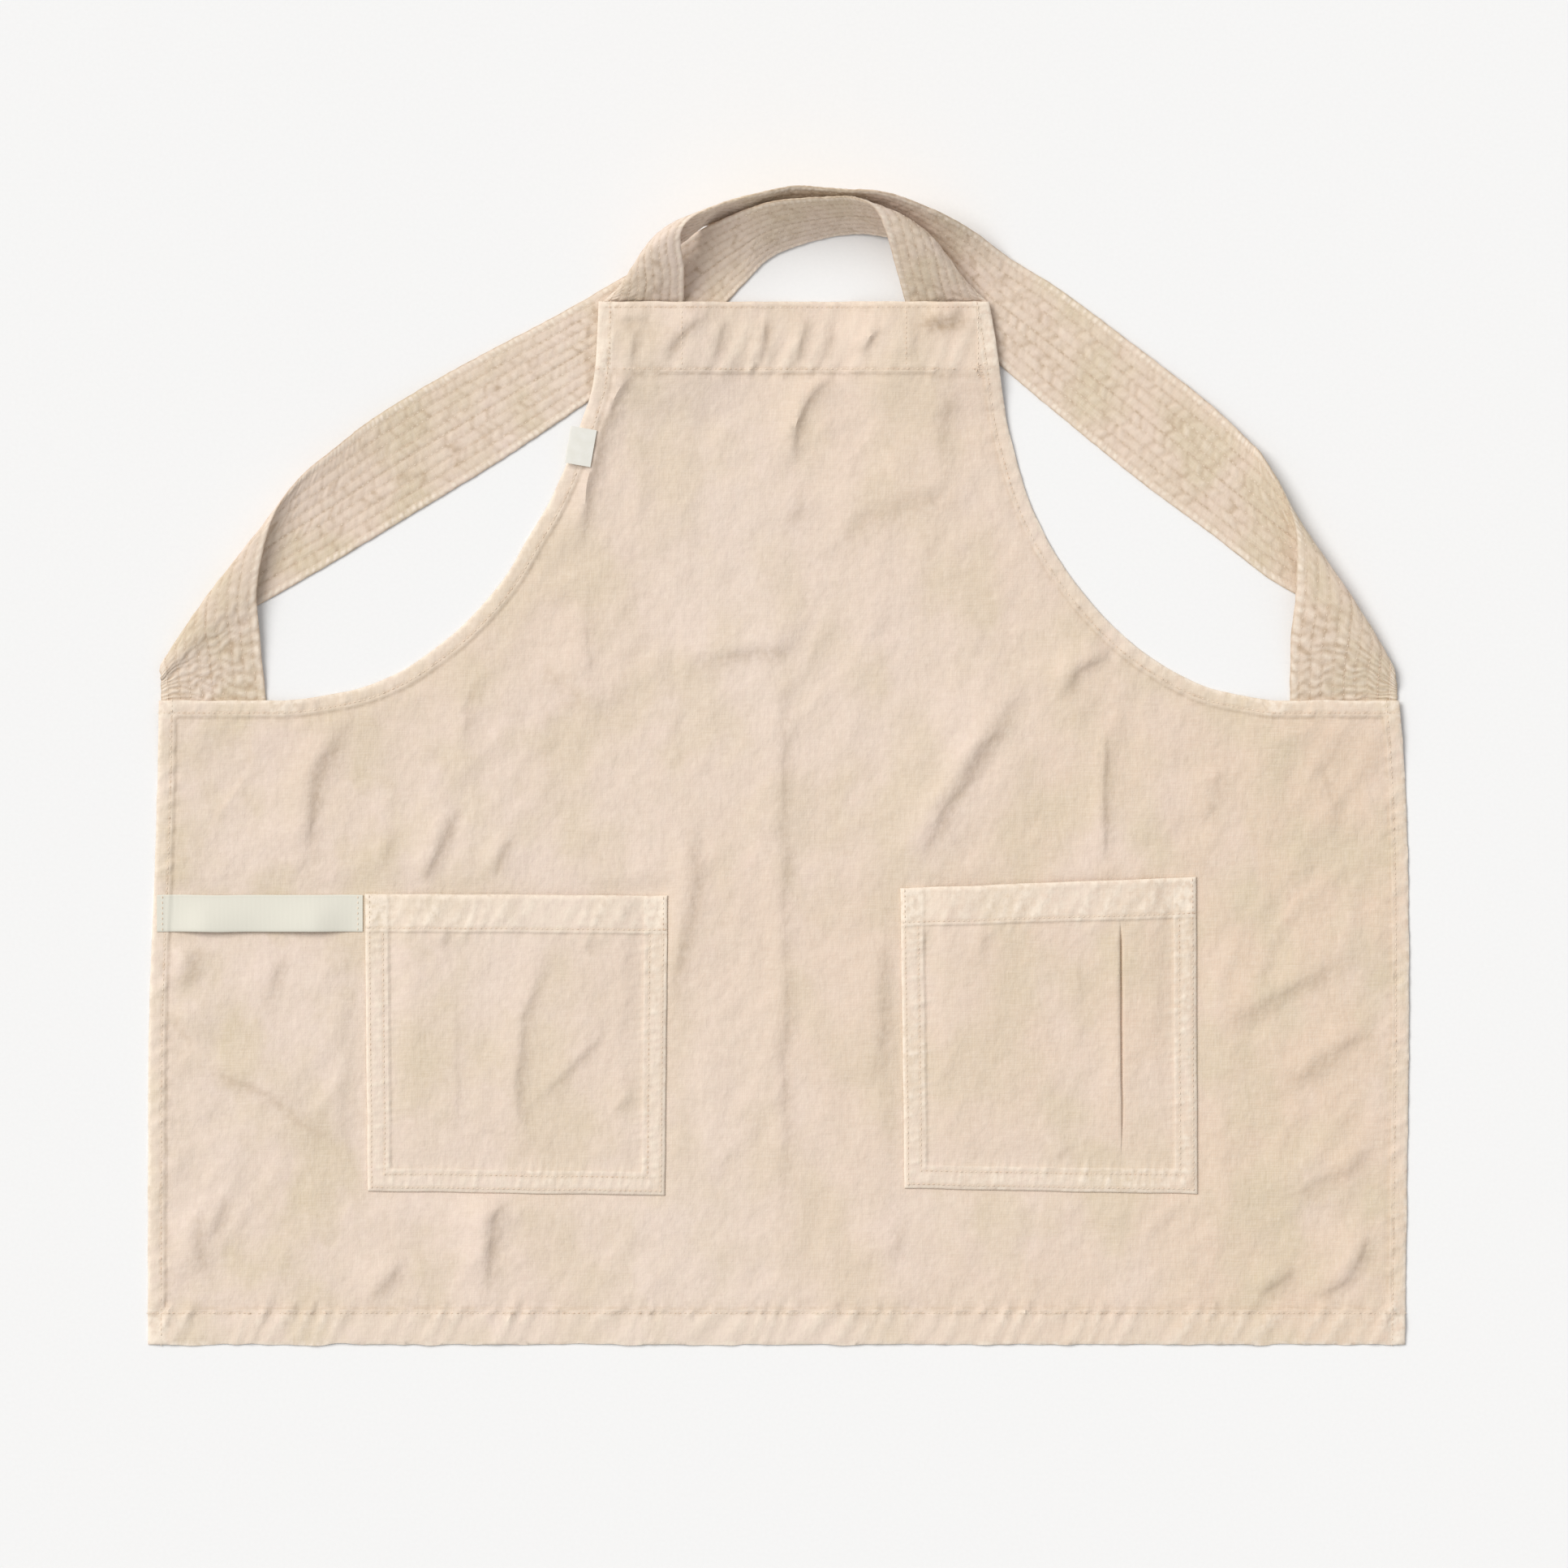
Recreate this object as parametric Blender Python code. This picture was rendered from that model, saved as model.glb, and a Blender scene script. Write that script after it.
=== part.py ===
"""A smock apron of washed linen, lying face up on a flat surface.

The bib points to +Y and the cloth's face to +Z. All lengths are in metres. Places on the apron are given
in plan shares: s runs across (1 at a bib corner, 2 at a strap's inner edge at the side, 3 at the side edge)
and t runs up (0 at the hem, 1 at the side's top, 2 at the bib's top, 3 at the crest of the straps).
"""

import math

import bpy
import numpy as np
from mathutils import Vector
from mathutils.bvhtree import BVHTree
from mathutils.geometry import delaunay_2d_cdt

# Driving sizes of the body
SKIRT_WIDTH = 0.892
SIDE_TOP_WIDTH = 0.880
SIDE_LENGTH = 0.457
BODY_LENGTH = 0.740
BIB_WIDTH = 0.277
BIB_SHIFT = 0.0105
NECK_RISE = 0.080

# Cloth and hems
CLOTH = 0.0012
HEM_CLOTH = 0.0022
FOOT_HEM = 0.0245
SIDE_HEM = 0.0115
BIB_HEM = 0.050
ARMHOLE_BAND = 0.011
HEM_STEP = 0.0015
HEM_RIPPLE = 0.0018

# Straps
STRAP_WIDTH = 0.0745
STRAP_BIB_WIDTH = 0.059
STRAP_CLOTH = 0.0024
STRAP_RISE = 0.055
SEWN_AT_SIDE = 0.009
SEWN_AT_BIB = 0.040

# Pockets, towel loop and tag
POCKET_WIDTH = 0.2125
POCKET_HEIGHT = 0.212
POCKET_DROP = 0.136
POCKET_INSET = 0.147
POCKET_BAND = 0.0265
POCKET_SEAM = 0.016
POCKET_BELLY = 0.003
PEN_FOLD = 0.0016
PEN_FOLD_WIDTH = 0.008
LOOP_WIDTH = 0.027
LOOP_TAPE = 0.0012
LOOP_BOW = 0.0062
TAG_WIDTH = 0.021
TAG_HEIGHT = 0.0275
TAG_CLOTH = 0.001
TAG_OVERHANG = 0.005

# Clearances and mesh steps
GAP = 0.0003
SEAT = 0.0004
LIFT_MARGIN = 0.014
LIFT_RAMP = 0.026
MESH_STEP = 0.0205
STRAP_STEPS = 3
STRAP_ACROSS = 6
POCKET_LATTICE = 0.17
POCKET_CELLS = 8
POCKET_SLOPE = 0.32
LOOP_LATTICE = 0.14
LOOP_CELLS = 13
LOOP_HELD = 0.02
LOOP_FREE = 0.36
TAG_CELLS = 5
RIPPLES = (83.0, 47.0)

# Finishes: colours as linear red, green and blue
CLOTH_ROUGHNESS = 0.9
TAPE_ROUGHNESS = 0.75
LINEN = (0.78, 0.66, 0.53)
LINEN_STRAP = (0.70, 0.57, 0.44)
TAPE_GREY = (0.76, 0.74, 0.64)
TAG_WHITE = (0.90, 0.89, 0.86)

# The armhole from the bib's corner (0) down to the strap's root (1): how far out it has come, left and right
ARMHOLE_COLUMNS = ("down", "left_out", "right_out")
ARMHOLE = (
    (0.00, 0.000, 0.000),
    (0.10, 0.006, 0.022),
    (0.20, 0.015, 0.040),
    (0.30, 0.051, 0.058),
    (0.40, 0.093, 0.091),
    (0.50, 0.146, 0.132),
    (0.60, 0.216, 0.193),
    (0.70, 0.288, 0.278),
    (0.80, 0.392, 0.388),
    (0.87, 0.491, 0.491),
    (0.93, 0.599, 0.612),
    (0.97, 0.718, 0.730),
    (0.993, 0.860, 0.870),
)

# Soft folds that stand up from the cloth: two ends in plan shares, height in cloths and half width in hems
FOLD_COLUMNS = ("s0", "t0", "s1", "t1", "height", "half_width")
FOLDS = (
    (0.00, 1.40, -0.04, 0.15, 1.6, 0.55),
    (-0.60, 1.16, 0.38, 1.17, 1.5, 0.45),
    (-1.66, 1.05, -1.88, 0.72, 3.4, 0.80),
    (-1.10, 0.86, -0.90, 0.70, 2.2, 0.60),
    (-1.42, 0.94, -1.50, 0.76, 1.8, 0.50),
    (1.40, 1.10, 1.02, 0.92, 3.2, 0.80),
    (1.02, 0.92, 0.64, 0.76, 2.6, 0.70),
    (1.36, 1.05, 1.36, 0.72, 1.6, 0.45),
    (-0.86, 1.82, -1.00, 1.64, 2.6, 0.50),
    (0.09, 1.80, -0.10, 1.72, 1.8, 0.45),
    (-2.90, 0.46, -1.75, 0.31, 2.0, 0.70),
    (2.85, 0.14, 2.20, 0.06, 2.6, 0.50),
    (2.95, 0.09, 2.40, 0.05, 2.0, 0.40),
    (1.90, 0.11, 1.60, 0.06, 2.0, 0.45),
    (-1.00, 0.18, -1.10, 0.05, 1.8, 0.50),
)

# Each strap's cross lines from its side root to its bib root. The low edge has a place in plan shares. The
# high edge lies from it along aim, in degrees, by reach, in strap widths. low and high are their heights in
# strap rises. out and up bow the line between them sideways and upwards, in strap widths.
STRAP_COLUMNS = ("s", "t", "aim", "reach", "low", "high", "out", "up")
LEFT_STRAP = (
    (-2.98, 1.000, 0, 1.00, 0.00, 0.00, 0.00, 0.00),
    (-2.98, 1.045, 32, 1.11, 0.02, 0.13, 0.02, 0.03),
    (-2.98, 1.061, 44, 1.31, 0.07, 0.22, 0.05, 0.05),
    (-2.91, 1.102, 53, 1.70, 0.06, 0.27, 0.06, 0.02),
    (-2.15, 1.224, 69, 1.41, 0.00, 0.22, 0.02, -0.05),
    (-1.80, 1.344, 87, 1.18, 0.00, 0.18, 0.00, -0.03),
    (-1.56, 1.466, 109, 1.07, 0.00, 0.12, 0.00, -0.01),
    (-1.27, 1.615, 122, 1.05, 0.00, 0.05, 0.00, 0.00),
    (-0.95, 1.784, 121, 0.93, 0.00, 0.00, 0.00, 0.00),
    (-0.54, 1.916, 118, 0.89, 0.00, 0.01, 0.00, 0.00),
    (-0.37, 1.986, 114, 0.84, 0.00, 0.16, 0.00, -0.03),
    (-0.26, 2.150, 106, 0.73, 0.00, 0.60, 0.00, -0.08),
    (-0.08, 2.430, 98, 0.55, 0.00, 0.88, 0.00, -0.06),
    (0.28, 2.600, 118, 0.44, 0.00, 0.96, 0.00, -0.04),
    (0.56, 2.530, 140, 0.74, 0.14, 0.97, -0.03, -0.03),
    (0.78, 2.270, 140, 1.09, 0.18, 0.92, -0.18, 0.02),
    (0.91, 2.100, 146, 1.22, 0.11, 0.78, -0.11, 0.11),
    (0.967, 2.03, 158, 1.13, 0.08, 0.45, -0.03, 0.09),
    (0.996, 2.00, 180, 1.00, 0.07, 0.07, 0.00, 0.00),
)
RIGHT_STRAP = (
    (2.98, 1.000, 180, 1.02, 0.00, 0.00, 0.00, 0.00),
    (2.98, 1.030, 155, 1.13, 0.02, 0.13, -0.02, 0.03),
    (2.97, 1.050, 140, 1.28, 0.07, 0.22, -0.05, 0.05),
    (2.90, 1.095, 126, 1.56, 0.06, 0.27, -0.07, 0.02),
    (2.45, 1.204, 115, 1.41, 0.00, 0.22, -0.01, -0.05),
    (1.93, 1.300, 95, 1.26, 0.00, 0.18, 0.00, -0.03),
    (1.72, 1.423, 66, 1.00, 0.00, 0.12, 0.00, -0.01),
    (1.50, 1.547, 52, 1.06, 0.00, 0.06, 0.00, 0.00),
    (1.20, 1.734, 53, 1.04, 0.00, 0.02, 0.00, 0.00),
    (1.03, 1.845, 53, 1.00, 0.00, 0.00, 0.00, 0.00),
    (0.89, 1.922, 60, 0.90, 0.00, 0.04, 0.00, 0.00),
    (0.78, 2.000, 66, 0.79, 0.00, 0.28, 0.00, -0.05),
    (0.67, 2.300, 74, 0.60, 0.00, 0.62, 0.00, -0.08),
    (0.46, 2.650, 84, 0.36, 0.00, 0.90, 0.00, -0.05),
    (0.20, 2.680, 84, 0.37, 0.00, 0.95, 0.00, -0.04),
    (-0.06, 2.630, 70, 0.50, 0.00, 0.95, 0.00, -0.03),
    (-0.26, 2.640, 58, 0.50, 0.04, 0.96, 0.02, -0.02),
    (-0.44, 2.720, 34, 0.44, 0.12, 0.96, 0.05, 0.00),
    (-0.59, 2.540, 42, 0.60, 0.22, 0.95, 0.03, -0.03),
    (-0.76, 2.290, 46, 0.80, 0.17, 0.90, 0.15, 0.02),
    (-0.88, 2.120, 41, 0.92, 0.12, 0.78, 0.11, 0.11),
    (-0.95, 2.035, 20, 0.96, 0.075, 0.44, 0.00, 0.06),
    (-0.985, 2.00, 0, 0.99, 0.07, 0.07, 0.00, 0.00),
)
# Rows of each table that lie under the bib, as first and last
LEFT_UNDER_BIB = (7, 11)
RIGHT_UNDER_BIB = (8, 11)

# Pockets: side (-1 left, 1 right), turn in degrees and whether it has the pen fold
POCKET_COLUMNS = ("name", "side", "turn", "pen_fold")
POCKETS = (
    ("pocket_left", -1, -0.3, False),
    ("pocket_right", 1, 1.1, True),
)
PEN_FOLD_ACROSS = 0.74
PEN_FOLD_FROM = 0.30
PEN_FOLD_TO = 0.72
TAG_DOWN = 0.36
TAG_TURN = -10.0


def rows_of(columns, table):
    """Each row of a table as a dictionary under its columns' names."""
    return [dict(zip(columns, row)) for row in table]


def between(value, low, high):
    return np.clip((value - low) / (high - low), 0.0, 1.0)


def smooth(share):
    return share * share * (3.0 - 2.0 * share)


def clear_scene():
    for thing in list(bpy.data.objects):
        bpy.data.objects.remove(thing, do_unlink=True)


def material(name, colour, roughness):
    made = bpy.data.materials.new(name)
    made.use_nodes = True
    shader = made.node_tree.nodes["Principled BSDF"]
    shader.inputs["Base Color"].default_value = (*colour, 1.0)
    shader.inputs["Roughness"].default_value = roughness
    shader.inputs["Metallic"].default_value = 0.0
    return made


def plan_x(s):
    """Across the apron, from plan shares to metres."""
    side = math.copysign(1.0, s)
    corner = BIB_WIDTH / 2.0
    edge = SIDE_TOP_WIDTH / 2.0 - side * BIB_SHIFT
    root = edge - STRAP_WIDTH
    across = np.interp(abs(s), (0.0, 1.0, 2.0, 3.0), (0.0, corner, root, edge))
    return BIB_SHIFT + side * across


def plan_y(t):
    """Up the apron, from plan shares to metres."""
    crest = BODY_LENGTH + NECK_RISE
    return float(np.interp(t, (0.0, 1.0, 2.0, 3.0), (0.0, SIDE_LENGTH, BODY_LENGTH, crest)))


def armhole(side):
    """The armhole's edge from the bib's corner down to the strap's root."""
    column = "left_out" if side < 0 else "right_out"
    corner = plan_x(side)
    root = plan_x(2.0 * side)
    points = []
    for row in rows_of(ARMHOLE_COLUMNS, ARMHOLE):
        x = corner + (root - corner) * row[column]
        y = BODY_LENGTH + (SIDE_LENGTH - BODY_LENGTH) * row["down"]
        points.append((x, y))
    points.append((root - side * LIFT_MARGIN, SIDE_LENGTH))
    return np.array(points)


def straight(start, end, step):
    count = max(2, round(math.dist(start, end) / step) + 1)
    return np.linspace(start, end, count)


def foot_edge():
    points = straight((-SKIRT_WIDTH / 2.0, 0.0), (SKIRT_WIDTH / 2.0, 0.0), MESH_STEP)
    share = points[:, 0] / SKIRT_WIDTH
    wave = sum(np.sin(share * turns) for turns in RIPPLES) / len(RIPPLES)
    points[1:-1, 1] += HEM_RIPPLE * wave[1:-1]
    return points


def body_edges():
    """The body's edges in order round it, each with the width of its hem."""
    half_foot = SKIRT_WIDTH / 2.0
    half_top = SIDE_TOP_WIDTH / 2.0
    top = BODY_LENGTH
    side = SIDE_LENGTH
    right_hole = armhole(1.0)[::-1]
    left_hole = armhole(-1.0)
    return [
        (foot_edge(), FOOT_HEM),
        (straight((half_foot, 0.0), (half_top, side), MESH_STEP), SIDE_HEM),
        (straight((half_top, side), tuple(right_hole[0]), MESH_STEP), ARMHOLE_BAND),
        (right_hole, ARMHOLE_BAND),
        (straight((plan_x(1.0), top), (plan_x(-1.0), top), MESH_STEP), BIB_HEM),
        (left_hole, ARMHOLE_BAND),
        (straight(tuple(left_hole[-1]), (-half_top, side), MESH_STEP), ARMHOLE_BAND),
        (straight((-half_top, side), (-half_foot, 0.0), MESH_STEP), SIDE_HEM),
    ]


def distance_to(points, line):
    """Each point's distance to a line of points, and which side of it the point lies on."""
    best = np.full(len(points), np.inf)
    side = np.zeros(len(points))
    for start, end in zip(line[:-1], line[1:]):
        along = end - start
        share = np.clip(((points - start) @ along) / (along @ along), 0.0, 1.0)
        away = points - (start + share[:, None] * along)
        length = np.hypot(away[:, 0], away[:, 1])
        turn = along[0] * away[:, 1] - along[1] * away[:, 0]
        nearer = length < best
        best = np.where(nearer, length, best)
        side = np.where(nearer, np.sign(turn), side)
    return best, side


def inside(points, outline):
    """Whether each point lies inside a closed outline."""
    hits = np.zeros(len(points), dtype=bool)
    for start, end in zip(outline, np.roll(outline, -1, axis=0)):
        spans = (start[1] > points[:, 1]) != (end[1] > points[:, 1])
        rise = end[1] - start[1] if end[1] != start[1] else 1.0
        cross = start[0] + (points[:, 1] - start[1]) / rise * (end[0] - start[0])
        hits ^= spans & (points[:, 0] < cross)
    return hits


def body_thickness(points, edges):
    """Double cloth in the hems and bands, single cloth elsewhere."""
    hem = np.zeros(len(points))
    for line, width in edges:
        away, _ = distance_to(points, line)
        hem = np.maximum(hem, 1.0 - between(away, width, width + HEM_STEP))
    return CLOTH + (HEM_CLOTH - CLOTH) * hem


def pocket_frame(side, turn):
    """A pocket's middle and the directions across and up it."""
    middle_x = side * (SKIRT_WIDTH / 2.0 - POCKET_INSET - POCKET_WIDTH / 2.0)
    middle_y = SIDE_LENGTH - POCKET_DROP - POCKET_HEIGHT / 2.0
    angle = math.radians(turn)
    across = np.array((math.cos(angle), math.sin(angle)))
    upward = np.array((-math.sin(angle), math.cos(angle)))
    return np.array((middle_x, middle_y)), across, upward


def calm(points):
    """0 where a pocket or the towel loop is sewn on and the cloth lies flat, and 1 away from them."""
    free = np.ones(len(points))
    for row in rows_of(POCKET_COLUMNS, POCKETS):
        middle, across, upward = pocket_frame(row["side"], row["turn"])
        aside = np.abs((points - middle) @ across) - POCKET_WIDTH / 2.0
        above = np.abs((points - middle) @ upward) - POCKET_HEIGHT / 2.0
        away = np.maximum(aside, above)
        free *= smooth(between(away, LIFT_MARGIN, 2.0 * LIFT_RAMP))
    loop_top = SIDE_LENGTH - POCKET_DROP
    above = np.abs(points[:, 1] - (loop_top - LOOP_WIDTH / 2.0)) - LOOP_WIDTH / 2.0
    aside = points[:, 0] + SKIRT_WIDTH / 2.0 - POCKET_INSET
    away = np.maximum(aside, above)
    return free * smooth(between(away, LIFT_MARGIN, 2.0 * LIFT_RAMP))


def fold_lift(points, edges):
    """The height of the soft folds, fading out into the hems."""
    height = np.zeros(len(points))
    for row in rows_of(FOLD_COLUMNS, FOLDS):
        start = (plan_x(row["s0"]), plan_y(row["t0"]))
        end = (plan_x(row["s1"]), plan_y(row["t1"]))
        away, _ = distance_to(points, np.array((start, end)))
        spread = row["half_width"] * FOOT_HEM
        height = np.maximum(height, row["height"] * CLOTH * np.exp(-((away / spread) ** 2)))
    edge_away = np.full(len(points), np.inf)
    for line, width in edges:
        away, _ = distance_to(points, line)
        edge_away = np.minimum(edge_away, away - width)
    return height * calm(points) * smooth(between(edge_away, -HEM_STEP, LIFT_RAMP))


def box_lift(points, low, high):
    """1 over a box and its margin, falling to 0 over the ramp."""
    aside = np.maximum(low[0] - points[:, 0], points[:, 0] - high[0])
    above = np.maximum(low[1] - points[:, 1], points[:, 1] - high[1])
    away = np.maximum(aside, above)
    return 1.0 - between(away, LIFT_MARGIN, LIFT_MARGIN + LIFT_RAMP)


def low_edge(table, under):
    """The low edge of a strap where it passes under the bib."""
    rows = rows_of(STRAP_COLUMNS, table)[under[0] : under[1] + 1]
    return np.array([(plan_x(row["s"]), plan_y(row["t"])) for row in rows])


def strap_lift(points):
    """How far the straps under the cloth hold it up."""
    lone = STRAP_CLOTH + 2.0 * SEAT
    double = low_root_height() + STRAP_CLOTH + 3.0 * SEAT
    height = np.zeros(len(points))
    for side in (-1.0, 1.0):
        outer = side * SIDE_TOP_WIDTH / 2.0
        inner = plan_x(2.0 * side)
        low = (min(outer, inner), SIDE_LENGTH - SEWN_AT_SIDE)
        high = (max(outer, inner), SIDE_LENGTH)
        height = np.maximum(height, lone * box_lift(points, low, high))
        corner = plan_x(side)
        inner = corner - side * STRAP_BIB_WIDTH
        low = (min(corner, inner), BODY_LENGTH - SEWN_AT_BIB)
        high = (max(corner, inner), BODY_LENGTH)
        height = np.maximum(height, double * box_lift(points, low, high))
    for table, under, strap_side in (
        (LEFT_STRAP, LEFT_UNDER_BIB, 1.0),
        (RIGHT_STRAP, RIGHT_UNDER_BIB, -1.0),
    ):
        away, side = distance_to(points, low_edge(table, under))
        away = np.where(side == strap_side, 0.0, away)
        over = 1.0 - between(away, LIFT_MARGIN, LIFT_MARGIN + LIFT_RAMP)
        on_bib = between(points[:, 1], SIDE_LENGTH + ARMHOLE_BAND, SIDE_LENGTH + LIFT_RAMP)
        height = np.maximum(height, lone * over * on_bib)
    return height


def low_root_height():
    """The height of a strap's underside at its bib root, over the other strap."""
    return STRAP_RISE * LEFT_STRAP[-1][STRAP_COLUMNS.index("low")]


def body_lift(points, edges):
    return np.maximum(fold_lift(points, edges), strap_lift(points))


def inset_line(line, width):
    """A line moved into the cloth by a width, to the left of its direction."""
    ahead = np.gradient(line, axis=0)
    length = np.hypot(ahead[:, 0], ahead[:, 1])[:, None]
    inward = np.column_stack((-ahead[:, 1], ahead[:, 0])) / length
    return line + inward * width


def body_plan():
    """The body's plan as triangles: its outline, the hems' lines and a lattice of points between them."""
    edges = body_edges()
    outline = np.vstack([line[:-1] for line, _ in edges])
    points = [outline]
    links = [(i, (i + 1) % len(outline)) for i in range(len(outline))]
    count = len(outline)
    for line, width in edges:
        for depth in (width, width + HEM_STEP):
            moved = inset_line(line, depth)
            away = np.min([distance_to(moved, other)[0] for other, _ in edges], axis=0) - 0.98 * depth
            kept = moved[inside(moved, outline) & (away > 0.0)]
            for i in range(len(kept) - 1):
                if math.dist(kept[i], kept[i + 1]) < 2.2 * MESH_STEP:
                    links.append((count + i, count + i + 1))
            points.append(kept)
            count += len(kept)
    hem_points = np.vstack(points)
    lattice = []
    row_step = MESH_STEP * math.sqrt(0.75)
    for j in range(int((BODY_LENGTH + MESH_STEP) / row_step)):
        for i in range(-int(SKIRT_WIDTH / 2.0 / MESH_STEP), int(SKIRT_WIDTH / 2.0 / MESH_STEP) + 1):
            lattice.append(((i + 0.5 * (j % 2)) * MESH_STEP, j * row_step))
    lattice = np.array(lattice)
    lattice = lattice[inside(lattice, outline)]
    nearest = np.array([np.min(np.hypot(*(hem_points - point).T)) for point in lattice])
    lattice = lattice[nearest > 0.55 * MESH_STEP]
    every = np.vstack((hem_points, lattice))
    made = delaunay_2d_cdt([Vector(p) for p in every], links, [list(range(len(outline)))], 1, 1e-6)
    plan = np.array([tuple(p) for p in made[0]])
    return plan, [tuple(face) for face in made[2]], edges


def new_object(name, points, faces, colour, roughness):
    mesh = bpy.data.meshes.new(name)
    mesh.from_pydata([tuple(map(float, p)) for p in points], [], faces)
    mesh.update()
    made = bpy.data.objects.new(name, mesh)
    bpy.context.scene.collection.objects.link(made)
    made.data.materials.append(material(name, colour, roughness))
    return made


def rim_of(faces):
    """The edges that only one face has, in that face's direction."""
    seen = {}
    for face in faces:
        for start, end in zip(face, face[1:] + face[:1]):
            seen[(start, end)] = True
    return [edge for edge in seen if (edge[1], edge[0]) not in seen]


def slab(low, high, faces):
    """A closed sheet between two layers of points with the same faces."""
    count = len(low)
    points = np.vstack((low, high))
    solid = [tuple(reversed(face)) for face in faces]
    solid += [tuple(index + count for index in face) for face in faces]
    solid += [(start, end, end + count, start + count) for start, end in rim_of(faces)]
    return points, solid


def make_body():
    plan, faces, edges = body_plan()
    lift = body_lift(plan, edges)
    thick = body_thickness(plan, edges)
    low = np.column_stack((plan, lift))
    high = np.column_stack((plan, lift + thick))
    points, solid = slab(low, high, faces)
    made = new_object("apron_body", points, solid, LINEN, CLOTH_ROUGHNESS)
    top = BVHTree.FromPolygons([Vector(p) for p in high], faces)
    return made, top


def height_on(top, x, y):
    """The cloth's height under a place, or 0 beside the cloth."""
    hit = top.ray_cast(Vector((x, y, 1.0)), Vector((0.0, 0.0, -1.0)))[0]
    return hit.z if hit else 0.0


def eased(values, steps):
    """Values at even steps between a table's rows, on a smooth curve through them."""
    values = np.asarray(values, dtype=float)
    padded = np.vstack((2.0 * values[0] - values[1], values, 2.0 * values[-1] - values[-2]))
    result = []
    for i in range(len(values) - 1):
        before, start, end, after = padded[i : i + 4]
        for j in range(steps):
            share = j / steps
            square = share * share
            cube = square * share
            result.append(
                0.5
                * (
                    2.0 * start
                    + (end - before) * share
                    + (2.0 * before - 5.0 * start + 4.0 * end - after) * square
                    + (3.0 * start - before - 3.0 * end + after) * cube
                )
            )
    result.append(values[-1])
    return np.array(result)


def strap_lines(table):
    """Each row of a strap's table in metres: low edge, high edge, and the bow between them."""
    rows = rows_of(STRAP_COLUMNS, table)
    lines = []
    for i, row in enumerate(rows):
        width = STRAP_WIDTH + (STRAP_BIB_WIDTH - STRAP_WIDTH) * i / (len(rows) - 1)
        aim = math.radians(row["aim"])
        reach = row["reach"] * width
        x = plan_x(row["s"])
        y = plan_y(row["t"])
        low = STRAP_CLOTH / 2.0 + row["low"] * STRAP_RISE
        high = STRAP_CLOTH / 2.0 + row["high"] * STRAP_RISE
        bow = (-math.sin(aim) * row["out"] * width, math.cos(aim) * row["out"] * width, row["up"] * width)
        lines.append((x, y, low, x + reach * math.cos(aim), y + reach * math.sin(aim), high, *bow))
    return lines


def sewn_line(line, depth):
    """A strap's end line moved down under the body's edge."""
    moved = list(line)
    moved[1] -= depth
    moved[4] -= depth
    return moved


def strap_grid(table):
    """The strap's middle surface as rows of points across it."""
    lines = eased(strap_lines(table), STRAP_STEPS)
    first = sewn_line(lines[0], SEWN_AT_SIDE)
    last = [sewn_line(lines[-1], SEWN_AT_BIB * share) for share in (0.5, 1.0)]
    lines = np.vstack((first, lines, last))
    share = np.linspace(0.0, 1.0, STRAP_ACROSS + 1)[None, :, None]
    low = lines[:, None, 0:3]
    high = lines[:, None, 3:6]
    bow = lines[:, None, 6:9]
    grid = low + (high - low) * share + bow * 4.0 * share * (1.0 - share)
    grid[:, :, 2] = np.maximum(grid[:, :, 2], STRAP_CLOTH / 2.0)
    return grid


def grid_normals(grid):
    along = np.gradient(grid, axis=0)
    across = np.gradient(grid, axis=1)
    normal = np.cross(along, across)
    return normal / np.linalg.norm(normal, axis=2, keepdims=True)


def grid_faces(rows, columns):
    faces = []
    for i in range(rows - 1):
        for j in range(columns - 1):
            first = i * columns + j
            faces.append((first, first + 1, first + columns + 1, first + columns))
    return faces


def make_strap(name, table):
    grid = strap_grid(table)
    normal = grid_normals(grid)
    rows, columns = grid.shape[:2]
    half = normal * STRAP_CLOTH / 2.0
    low = (grid + half).reshape(-1, 3)
    high = (grid - half).reshape(-1, 3)
    points, solid = slab(low, high, grid_faces(rows, columns))
    made = new_object(name, points, solid, LINEN_STRAP, CLOTH_ROUGHNESS)
    face_out(made)
    return made


def face_out(made):
    """Turns the faces outwards, as the sheet's direction may run either way."""
    bpy.ops.object.select_all(action="DESELECT")
    made.select_set(True)
    bpy.context.view_layer.objects.active = made
    bpy.ops.object.mode_set(mode="EDIT")
    bpy.ops.mesh.select_all(action="SELECT")
    bpy.ops.mesh.normals_make_consistent(inside=False)
    bpy.ops.object.mode_set(mode="OBJECT")


def pocket_steps(row):
    """Shares across and up a pocket where its mesh has lines."""
    seam = POCKET_SEAM / POCKET_WIDTH
    step = HEM_STEP / POCKET_WIDTH
    across = list(np.linspace(POCKET_LATTICE, 1.0 - POCKET_LATTICE, POCKET_CELLS))
    if row["pen_fold"]:
        half = 0.5 * PEN_FOLD_WIDTH / POCKET_WIDTH
        across = [u for u in across if abs(u - PEN_FOLD_ACROSS) > 3.0 * half]
        across += [PEN_FOLD_ACROSS - half, PEN_FOLD_ACROSS, PEN_FOLD_ACROSS + half]
    across += [0.0, seam, seam + step, 1.0 - seam - step, 1.0 - seam, 1.0]
    seam = POCKET_SEAM / POCKET_HEIGHT
    band = 1.0 - POCKET_BAND / POCKET_HEIGHT
    step = HEM_STEP / POCKET_HEIGHT
    upward = list(np.linspace(POCKET_LATTICE, 1.0 - POCKET_LATTICE, POCKET_CELLS))
    upward += [0.0, seam, seam + step, band - step, band, 1.0]
    return sorted(across), sorted(upward)


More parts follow.
